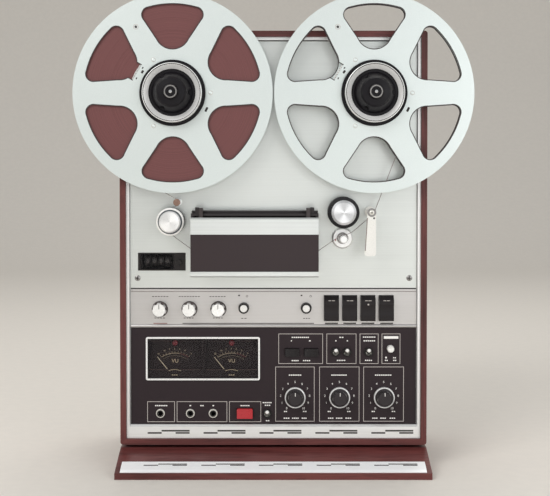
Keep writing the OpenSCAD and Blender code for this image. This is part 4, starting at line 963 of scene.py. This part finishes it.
def counter_digits():
    """A digit on each wheel and a reset button beside the window."""
    wheel_xs = [WHEEL_X0 + WHEEL_PITCH * i for i in range(4)]
    digits = [printed_number("0", x, COUNTER_Z, COUNTER_FACE, DIGIT_SIZE) for x in wheel_xs]
    units = digits.pop()
    joined(digits)
    settle("counter_digits", "print_faint", "recorder")
    picked([units])
    settle("counter_units_digit", "print_faint", "counter_units_wheel")
    button = [
        (0, 4.6), (2.6, 4.6), (3.4, 3.9), (3.4, 1.6), (4.6, 1.6), (4.6, 2.0), (5.2, 2.0), (5.4, 1.45),
        (0, 1.45),
    ]
    turned(button, RESET_X, COUNTER_Z, 40)
    settle("counter_reset", "button_black", "recorder")


# Control strip, where each printed stroke has its middle, its height and its width; the strokes on the nose are
# painted reflections

STRIP_LEGENDS = (
    (-154.0, 17.25, 23.2), (-114.5, 17.25, 29.7), (-76.0, 17.25, 23.0), (-154.8, -12.05, 15.2),
    (-115.3, -12.05, 14.5), (-75.5, -12.05, 14.5), (-40.2, -12.55, 8.5), (45.1, -12.55, 10.4),
)
# Painted reflections of the keys and knobs on the polished nose, each by its middle and width
NOSE_REFLECTIONS = ((78.9, 17.6), (103.7, 17.4), (128.5, 17.6), (154.0, 17.4))
NOSE_LONG_REFLECTION, NOSE_RED_REFLECTION = (-34.3, 178.9), (-153.8, 18.9)
NOSE_Z = CONTROL_Z - 19.3
STRIP_LEGEND_H, STRIP_LEGEND_PITCH, STRIP_LEGEND_SHARE = 0.9, 3.6, 0.7
NOSE_REFLECTION_H, NOSE_LINE_H = 1.7, 1.1
STATE_DOT_XS, STATE_DOT_Z, STATE_DOT_W, STATE_DOT_H = (-46.8, 38.2), CONTROL_Z + 18.7, 2.4, 1.8
STATE_RING_XS, STATE_RING_Z, STATE_RING = (-36.0, 50.6), CONTROL_Z + 17.7, (1.0, 1.5)
SEAM_Z, SEAM_H, SEAM_SHORT = DECK_FOOT + 0.6, 1.5, 0.4
GROOVE_Z, GROOVE_H = DECK_FOOT - 3.5, 0.7
SELECTOR_LINE_Z, SELECTOR_LINE_W, SELECTOR_LINE_LEN = CONTROL_Z + 4.6, 0.9, 6.2
SELECTOR_LINE_THICK = 0.1
KEY_MARKS, KEY_MARK_Z, KEY_MARK_H = ((-2.6, 3.6), (2.2, 4.2)), BUTTON_Z + 10.8, 0.8
KEY_SHOULDER, KEY_MARK_THICK = 8.92, 0.14
SQUARE_KEY, SQUARE_Z, SQUARE_W = 3, BUTTON_Z + 5.6, 2.0
KEY_FACE, SQUARE_THICK = 8.9, 0.2


def strokes(x, z, w, h, pitch, share, fewest):
    """A row of short strokes in place of a word."""
    count = max(fewest, round(w / pitch))
    return [(x + (i - (count - 1) / 2) * w / count, z, w / count * share, h) for i in range(count)]


def strip_marks():
    """Dark strokes for the words on the control strip, and painted reflections of the knobs and keys on its
    polished nose.
    """
    bars = []
    for x, rise, w in STRIP_LEGENDS:
        bars += strokes(
            x, CONTROL_Z + rise, w, STRIP_LEGEND_H, STRIP_LEGEND_PITCH, STRIP_LEGEND_SHARE, 2
        )
    bars += [(x, STATE_DOT_Z, STATE_DOT_W, STATE_DOT_H) for x in STATE_DOT_XS]
    printed_bars(bars, ON_PANEL)
    settle("strip_legends", "dark_print_and_painted_shade", "recorder")
    # Painted reflections of the keys and knobs on the nose
    long_x, long_w = NOSE_LONG_REFLECTION
    bars = [(x, NOSE_Z, w, NOSE_REFLECTION_H) for x, w in NOSE_REFLECTIONS]
    printed_bars(bars + [(long_x, NOSE_Z, long_w, NOSE_LINE_H)], ON_PANEL)
    settle("nose_reflections", "dark_print_and_painted_shade", "recorder")
    red_x, red_w = NOSE_RED_REFLECTION
    printed_bars([(red_x, NOSE_Z, red_w, NOSE_LINE_H)], ON_PANEL)
    settle("nose_red_reflection", "reflection_red", "recorder")
    across = extent("control_plate")[0] - SEAM_SHORT
    printed_bars([(0, SEAM_Z, across, SEAM_H)], ON_PANEL, MARK_THICK)
    settle("deck_seam", "dark_print_and_painted_shade", "recorder")
    printed_bars([(0, GROOVE_Z, across, GROOVE_H)], ON_PANEL, MARK_THICK)
    settle("strip_groove_line", "brown_line_and_painted_shade", "recorder")
    joined([printed_arc(x, STATE_RING_Z, ON_PANEL, *STATE_RING, 0, 360) for x in STATE_RING_XS])
    settle("button_state_rings", "dark_print_and_painted_shade", "recorder")


def selector_pointer(i, x):
    """Pointer line of a selector knob, and a dark ring round its foot, a painted shadow."""
    line = [(x, SELECTOR_LINE_Z, SELECTOR_LINE_W, SELECTOR_LINE_LEN)]
    printed_bars(line, SELECTOR_FRONT, SELECTOR_LINE_THICK)
    settle(f"selector_pointer_{i}", "dark_print_and_painted_shade", f"selector_knob_{i}")
    # Dark ring round the knob's foot: painted shadow
    base = [(10.5, 0.45), (10.9, 0.7), (10.9, 1.6), (10.5, 2.0), (10.2, 0.45), (10.5, 0.45)]
    turned(base, x, CONTROL_Z, 64)
    settle(f"selector_foot_shadow_{i}", "dark_print_and_painted_shade", f"selector_knob_{i}")


def push_button_cap(side, x):
    """White domed cap of a push button."""
    cap = [(0, 9.55), (3.0, 9.5), (4.4, 9.25), (4.9, 8.75), (4.9, 8.42), (0, 8.42)]
    turned(cap, x, BUTTON_Z, 48)
    settle(f"push_button_cap_{side}", "toggle_white", f"push_button_{side}")


def key_mark(i, x):
    """Short pale strokes near a key's top, on its sloping shoulder; one key has a square too."""
    strokes_on_key = [(x + aside, KEY_MARK_Z, w, KEY_MARK_H) for aside, w in KEY_MARKS]
    mark = printed_bars(strokes_on_key, KEY_SHOULDER, KEY_MARK_THICK)
    if i == SQUARE_KEY:
        square = printed_bars([(x, SQUARE_Z, SQUARE_W, SQUARE_W)], KEY_FACE, SQUARE_THICK)
        joined([mark, square])
    settle(f"key_mark_{i}", "print_grey", f"key_{i}")


# Amplifier panel, where heights count from the panel's foot

PANEL_BOXES = (
    (-171.9, -134.4, 2.4, 30.6), (-131.7, -63.1, 2.4, 30.6), (-60.4, -16.9, 2.4, 30.6),
    (6.8, 67.3, 82.0, 123.2), (72.2, 112.8, 82.0, 123.2), (117.4, 142.9, 82.0, 123.2),
    (147.3, 172.6, 82.0, 123.2), (2.6, 55.9, 3.1, 78.1), (62.4, 117.0, 3.1, 78.1),
    (122.4, 177.5, 3.1, 78.1),
)
PANEL_LEGENDS = (
    (36.5, 118.1, 24.2), (29.5, 86.4, 10.2), (45.1, 86.4, 10.4), (49.5, 113.4, 2.9), (24.4, 113.4, 1.9),
    (92.4, 118.1, 6.5), (92.0, 86.7, 12.1), (84.9, 113.4, 2.4), (100.6, 113.4, 2.2), (130.2, 118.5, 17.6),
    (130.4, 113.4, 16.4), (129.4, 86.7, 10.2), (153.7, 86.7, 4.4), (165.1, 86.7, 4.8), (164.8, 90.3, 4.4),
    (29.4, 66.6, 17.6), (16.4, 16.8, 4.8), (42.6, 16.8, 5.6), (17.8, 7.6, 8.5), (29.8, 7.6, 9.7),
    (41.8, 7.6, 7.3), (89.2, 66.6, 21.8), (76.0, 16.8, 4.8), (102.7, 16.8, 5.3), (78.0, 7.6, 8.0),
    (89.5, 7.6, 9.2), (102.0, 7.6, 8.5), (149.4, 66.6, 23.0), (136.0, 16.8, 5.1), (163.5, 16.8, 5.3),
    (138.2, 7.6, 7.7), (149.4, 7.6, 8.5), (162.1, 7.6, 8.2), (-153.0, 24.8, 17.4), (-113.3, 24.8, 2.9),
    (-97.4, 24.8, 5.3), (-82.0, 24.8, 2.9), (-38.8, 24.8, 12.8), (-8.6, 28.9, 12.8), (-8.1, 25.3, 8.0),
    (-7.9, 4.2, 5.3),
)
PANEL_BLOCKS = ((160.05, 118.0, 19.7, 3.6), (153.3, 90.5, 2.2, 2.2))
PANEL_LEGEND_H, PANEL_LEGEND_PITCH, PANEL_LEGEND_SHARE = 1.5, 2.6, 0.72
DIAL_R, DIAL_START, DIAL_STEP, DIAL_NUMBER_SIZE = 19.8, -145, 29, 4.2
LEVEL_LINE_Z, LEVEL_LINE_W, LEVEL_LINE_LEN = LEVEL_Z + 6.4, 0.8, 4.6
LEVEL_FACE, LEVEL_LINE_THICK = 20.45, 0.15
METER_NUMBERS = (("20", -34), ("10", -21), ("7", -11), ("5", -1), ("3", 9), ("0", 20), ("3", 33))
METER_NUMBER_R, METER_NUMBER_SIZE = 40.2, 2.9
METER_UNIT_Z, METER_UNIT_SIZE = METER_PIVOT_Z + 23.5, 7.2
SCALE_SWEEP, PALE_END, RED_START = 33, 10, 11
PALE_ARC, RED_ARC, INNER_ARC = (34.0, 34.5), (33.7, 34.9), (30.7, 30.85)
TICK_R, TICK_LEN, TICK_W, TICK_COUNT = 36.0, 2.2, 0.32, 11
METER_LAMP_Z = METER_PIVOT_Z + 48.6
HUB_ARC_Z, HUB_ARC, HUB_SWEEP = METER_PIVOT_Z - 8.6, (21.0, 21.7), 23
MASK_LINE_X, MASK_LINE_Z, MASK_LINE_LEN = 21.5, METER_PIVOT_Z + 12.6, 25.5
TOP_LINE_X, TOP_LINE_Z, TOP_LINE_LEN = 19.0, METER_PIVOT_Z + 50.6, 29.0
METER_LINE_W = 0.4
NAME_STEP, NAME_Z, NAME_W, NAME_H = 2.9, METER_PIVOT_Z + 5.3, 2.0, 1.3
DIVIDER_MID, DIVIDER_W, DIVIDER_DEEP, DIVIDER_H, DIVIDER_EDGE = -1.6, 3.4, 3.0, 53.8, 0.5


def panel_printing():
    """Grey outlines round the groups of controls, and pale strokes for their words."""
    boxes = [(x0, x1, AMP_FOOT + z0, AMP_FOOT + z1) for x0, x1, z0, z1 in PANEL_BOXES]
    printed_frames(boxes, ON_PANEL)
    settle("panel_outlines", "print_grey", "recorder")
    bars = [(x, AMP_FOOT + rise, w, h) for x, rise, w, h in PANEL_BLOCKS]
    for x, rise, w in PANEL_LEGENDS:
        bars += strokes(
            x, AMP_FOOT + rise, w, PANEL_LEGEND_H, PANEL_LEGEND_PITCH, PANEL_LEGEND_SHARE, 1
        )
    printed_bars(bars, ON_PANEL)
    settle("panel_legends", "print_white", "recorder")


def level_dial(i, x):
    """Numbers round a level knob, its pointer stroke, and the ring's dark face and bright rim."""
    numbers = []
    for n in range(11):
        at_x, at_z = clock_point(x, LEVEL_Z, DIAL_R, DIAL_START + DIAL_STEP * n)
        numbers.append(printed_number(str(n), at_x, at_z, ON_PANEL, DIAL_NUMBER_SIZE))
    joined(numbers)
    settle(f"level_numbers_{i}", "print_white", "recorder")
    printed_bars([(x, LEVEL_LINE_Z, LEVEL_LINE_W, LEVEL_LINE_LEN)], LEVEL_FACE, LEVEL_LINE_THICK)
    settle(f"level_pointer_{i}", "print_white", f"level_knob_{i}")
    seat = [(9.5, 9.5), (9.5, 10.0), (11.4, 10.0), (12.2, 9.75), (12.2, 9.5), (9.5, 9.5)]
    turned(seat, x, LEVEL_Z, 64)
    settle(f"level_seat_{i}", "dark_knob", f"level_ring_{i}")
    rim = [
        (12.2, 9.55), (12.5, 10.2), (13.0, 10.5), (13.5, 10.4), (13.95, 9.95), (14.15, 9.3),
        (14.15, 6.5), (13.7, 6.5), (13.7, 9.55), (12.2, 9.55),
    ]
    turned(rim, x, LEVEL_Z, 96)
    settle(f"level_rim_{i}", "ring_satin", f"level_ring_{i}")


def meter_dial(side, x):
    """Scale, numbers, lamp, lines and name strokes of one meter."""
    pivot = METER_PIVOT_Z
    parts = [
        printed_arc(x, pivot, METER_FACE, *PALE_ARC, -SCALE_SWEEP, PALE_END),
        printed_fan(
            x, pivot, METER_FACE, TICK_R, TICK_LEN, TICK_W, -SCALE_SWEEP, SCALE_SWEEP, TICK_COUNT
        ),
        printed_arc(x, pivot, METER_FACE, *INNER_ARC, -SCALE_SWEEP, SCALE_SWEEP),
    ]
    for words, angle in METER_NUMBERS:
        at_x, at_z = clock_point(x, pivot, METER_NUMBER_R, angle)
        parts.append(printed_number(words, at_x, at_z, METER_FACE, METER_NUMBER_SIZE))
    parts.append(printed_number("VU", x, METER_UNIT_Z, METER_FACE, METER_UNIT_SIZE))
    joined(parts)
    settle(f"meter_scale_{side}", "print_cream", "recorder")
    printed_arc(x, pivot, METER_FACE, *RED_ARC, RED_START, SCALE_SWEEP)
    settle(f"meter_red_zone_{side}", "print_maroon", "recorder")
    lamp_glass = [(0, -6.4), (2.1, -6.6), (3.5, -7.5), (4.0, -8.4), (4.0, METER_FACE), (0, METER_FACE)]
    turned(lamp_glass, x, METER_LAMP_Z, 32)
    settle(f"meter_lamp_{side}", "lamp_red", "recorder")
    printed_arc(x, HUB_ARC_Z, METER_MASK, *HUB_ARC, -HUB_SWEEP, HUB_SWEEP)
    settle(f"meter_hub_line_{side}", "print_cream", "recorder")
    lines = [(x + aside, MASK_LINE_Z, MASK_LINE_LEN, METER_LINE_W) for aside in (-MASK_LINE_X, MASK_LINE_X)]
    printed_bars(lines, METER_MASK)
    settle(f"meter_mask_line_{side}", "print_dim", "recorder")
    lines = [(x + aside, TOP_LINE_Z, TOP_LINE_LEN, METER_LINE_W) for aside in (-TOP_LINE_X, TOP_LINE_X)]
    printed_bars(lines, METER_FACE)
    settle(f"meter_top_line_{side}", "print_dim", "recorder")
    printed_bars([(x + step, NAME_Z, NAME_W, NAME_H) for step in (-NAME_STEP, 0, NAME_STEP)], METER_MASK)
    settle(f"meter_name_{side}", "print_cream", "recorder")


def meter_divider():
    """Dark bar between the two meters."""
    rounded_block(
        METER_MID_X, DIVIDER_MID, METER_Z, DIVIDER_W, DIVIDER_DEEP, DIVIDER_H, DIVIDER_EDGE
    )
    settle("meter_divider", "meter_black", "recorder")


def socket_details():
    """Dark nuts and sleeves round the toggles, and dark linings in the phone jacks."""
    nut = [(5.15, 0.02), (6.6, 0.02), (6.9, 0.4), (6.9, 1.5), (6.4, 2.0), (5.15, 2.0), (5.15, 0.02)]
    sleeve = [
        (3.95, 4.02), (3.95, 4.4), (4.8, 4.4), (5.3, 3.9), (5.3, 2.05), (5.06, 2.05), (5.06, 4.02),
        (3.95, 4.02),
    ]
    collars = []
    for x, z in TOGGLES:
        collars += [turned(nut, x, z, 6), turned(sleeve, x, z, 40)]
    joined(collars)
    settle("toggle_nuts", "button_black", "recorder")
    mouth = [(3.25, 2.62), (4.4, 2.62), (4.6, 2.75), (4.6, 2.85), (3.25, 2.85), (3.25, 2.62)]
    bore = [
        (3.18, 2.6), (3.04, 2.6), (3.04, -20.5), (0, -20.5), (0, -20.8), (3.18, -20.8), (3.18, 2.6),
    ]
    linings = []
    for x in JACK_XS:
        linings += [turned(mouth, x, JACK_Z, 32), turned(bore, x, JACK_Z, 32)]
    joined(linings)
    settle("jack_linings", "button_black", "recorder")


# Dark sheets of painted shade over the slots along the foot of the front

SLOT_X0 = -171.0
SLOT_PITCH = 76.0
SLOT_LEN = 19.0
SLOT_GROUPS = 5
SLOT_ROW = 1.5
RAIL_SLOT_Z = AMP_FOOT - 9.95
STRIP_SLOT_Y, STRIP_SLOT_Z = -43.85, 15.40
STRIP_SLOPE = math.radians(16.3702)
STRIP_LIFT = 0.02
SLOT_SHADE_H = 2.2


def slot_runs():
    """Start, length and row of each run in the staggered groups."""
    for group in range(SLOT_GROUPS):
        start = SLOT_X0 + group * SLOT_PITCH
        yield start, SLOT_LEN, -SLOT_ROW
        yield start + SLOT_LEN, 2 * SLOT_LEN, SLOT_ROW
        yield start + 2 * SLOT_LEN, SLOT_LEN, -SLOT_ROW


def slot_inlays():
    """Dark sheets over the slots of the bottom rail and of the plinth strip, painted shade for their hollows."""
    bars = [(start + w / 2, RAIL_SLOT_Z + row, w, SLOT_SHADE_H) for start, w, row in slot_runs()]
    printed_bars(bars, TRIM_FRONT)
    settle("rail_slot_shade", "slot_shade_olive", "recorder")
    clear_selection()
    outward = Vector((0, -math.sin(STRIP_SLOPE), math.cos(STRIP_SLOPE)))
    uphill = Vector((0, math.cos(STRIP_SLOPE), math.sin(STRIP_SLOPE)))
    for start, w, row in slot_runs():
        on_strip = Vector((start + w / 2, STRIP_SLOT_Y, STRIP_SLOT_Z))
        centre = (on_strip + uphill * row + outward * STRIP_LIFT) * MM
        add_sheet(centre, STRIP_SLOPE, (w, SLOT_SHADE_H, SLOT_SHADE_H))
    raise_plates(PRINT_THICK, outward)
    settle("strip_slot_shade", "slot_shade_olive", "recorder")


# Back of the cabinet

def rear_screws():
    """Screws along the rear cover's edge, and white insulators in the connector plate."""
    head = [
        (0, REAR_FACE - 1.3), (2.2, REAR_FACE - 1.2), (3.6, REAR_FACE - 0.7), (4.0, REAR_FACE),
        (0, REAR_FACE),
    ]
    ends = (REAR_SCREW_ZS[0], REAR_SCREW_ZS[-1])
    places = [(x, z) for x in REAR_SCREW_XS for z in (REAR_SCREW_ZS if x else ends)]
    joined([turned(head, x, z, 24) for x, z in places])
    settle("rear_cover_screws", "connector_metal", "recorder")
    seat, face = CONNECTOR_FACE - 0.02, CONNECTOR_FACE - 0.3
    insulator = [(1.7, seat), (1.7, face), (3.4, face), (3.5, seat), (1.7, seat)]
    rows = (CONNECTOR_Z - PHONO_RISE, CONNECTOR_Z + PHONO_RISE)
    joined([turned(insulator, x, z, 24) for x in PHONO_XS for z in rows])
    settle("phono_insulators", "toggle_white", "recorder")


def dress_recorder():
    """Give the solids their finishes and add the fine pieces."""
    dress_solids()
    for side, x in (("supply", -REEL_X), ("takeup", REEL_X)):
        hub_adapter_trim(side, x, f"{side}_reel")
        reel_fittings(side, x, f"{side}_reel")
        window_lips(side, x, f"{side}_reel")
    supply_tape()
    pinch_roller_cap()
    guide_roller_cap()
    guide_pin_cap()
    capstan_tip()
    hinge_ridge()
    for side, x in (("left", -DECK_SCREW_X), ("right", DECK_SCREW_X)):
        screw(
            f"deck_screw_{side}", x, ON_PANEL, DECK_SCREW_Z, DECK_SCREW_R, "recorder",
            "dull_steel",
        )
    lever_pivot()
    counter_digits()
    strip_marks()
    for i, x in enumerate(SELECTOR_XS, 1):
        selector_pointer(i, x)
    for side, x in zip(("left", "right"), BUTTON_XS):
        push_button_cap(side, x)
    for i, x in enumerate(KEY_XS, 1):
        key_mark(i, x)
    panel_printing()
    for i, x in enumerate(LEVEL_XS, 1):
        level_dial(i, x)
    for side, x in zip(("left", "right"), METER_XS):
        meter_dial(side, x)
    meter_divider()
    socket_details()
    slot_inlays()
    rear_screws()


# Stage, light and camera, in metres

FLOOR_W, FLOOR_DEEP, WALL_H, COVE_R = 14, 9, 5, 1.6
AIR_COLOUR, AIR_STRENGTH = (0.93, 0.94, 0.95, 1), 0.5
LAMPS = (
    ((-1.5, -2.2, 2.2), (0, 0, 0.35), 1.7, 1.7, 50, (1.0, 0.985, 0.965)),
    ((1.6, -2.3, 0.55), (0, 0, 0.32), 1.7, 1.7, 27, (0.97, 0.985, 1.0)),
    ((0.2, 1.2, 2.6), (0, 0.1, 0.4), 1.4, 1.4, 22, (1.0, 0.98, 0.95)),
    ((-0.02, -1.9, 0.24), (-0.02, 0, 0.24), 0.12, 0.5, 0.75, (1.0, 1.0, 1.0)),
)


def studio_floor():
    """A pale floor that curves up behind the recorder."""
    clear_selection()
    bpy.ops.mesh.primitive_plane_add(size=1, location=(0, 0, 0))
    open_mesh()
    bpy.ops.mesh.select_all(action="SELECT")
    bpy.ops.transform.resize(value=(FLOOR_W, FLOOR_DEEP, 1), center_override=(0, 0, 0))
    bpy.ops.mesh.select_all(action="DESELECT")
    bpy.ops.object.mode_set(mode="OBJECT")
    floor = bpy.context.object
    for vertex in floor.data.vertices:
        vertex.select = vertex.co.y > 0
    open_mesh()
    bpy.ops.mesh.extrude_region_move(TRANSFORM_OT_translate={"value": (0, 0, WALL_H)})
    bpy.ops.object.mode_set(mode="OBJECT")
    for edge in floor.data.edges:
        ends = [floor.data.vertices[i].co for i in edge.vertices]
        edge.select = all(p.y > 0 and abs(p.z) < 0.01 for p in ends)
    bpy.ops.object.mode_set(mode="EDIT")
    bpy.ops.mesh.select_mode(type="EDGE")
    bpy.ops.mesh.bevel(offset=COVE_R, segments=16, profile=0.5)
    bpy.ops.object.mode_set(mode="OBJECT")
    floor.name = "floor"
    floor.data.materials.append(plain_finish("floor_paper", (0.78, 0.74, 0.68), 0.85, 0, 60, 0.015, 0.0))
    bpy.ops.object.shade_smooth()


def studio_light():
    """Soft air and lamps, the last a narrow one by the camera that the brushed deck mirrors."""
    world = bpy.data.worlds.new("studio_air")
    bpy.context.scene.world = world
    world.use_nodes = True
    air = world.node_tree.nodes["Background"]
    air.inputs["Color"].default_value = AIR_COLOUR
    air.inputs["Strength"].default_value = AIR_STRENGTH
    for place, target, width, height, power, colour in LAMPS:
        bpy.ops.object.light_add(type="AREA", location=place)
        lamp = bpy.context.object
        lamp.data.shape = "RECTANGLE"
        lamp.data.size = width
        lamp.data.size_y = height
        lamp.data.energy = power
        lamp.data.color = colour
        lamp.rotation_euler = (Vector(target) - Vector(place)).to_track_quat("-Z", "Y").to_euler()


EYE = (0.0021, -1.5865, 0.4110)
FOCUS_PX = 1176.3
IMAGE_W = 550
LOOK_DOWN = 1.378
SHIFT = -0.1
SENSOR_W = 36


def camera():
    """The photograph's viewpoint."""
    bpy.ops.object.camera_add(location=EYE)
    eye = bpy.context.object
    eye.data.sensor_width = SENSOR_W
    eye.data.lens = FOCUS_PX * SENSOR_W / IMAGE_W
    eye.data.shift_y = SHIFT
    eye.rotation_euler = (math.radians(90 - LOOK_DOWN), 0, 0)
    bpy.context.scene.camera = eye


dress_recorder()
studio_floor()
studio_light()
camera()
bpy.context.scene.view_settings.view_transform = "Standard"
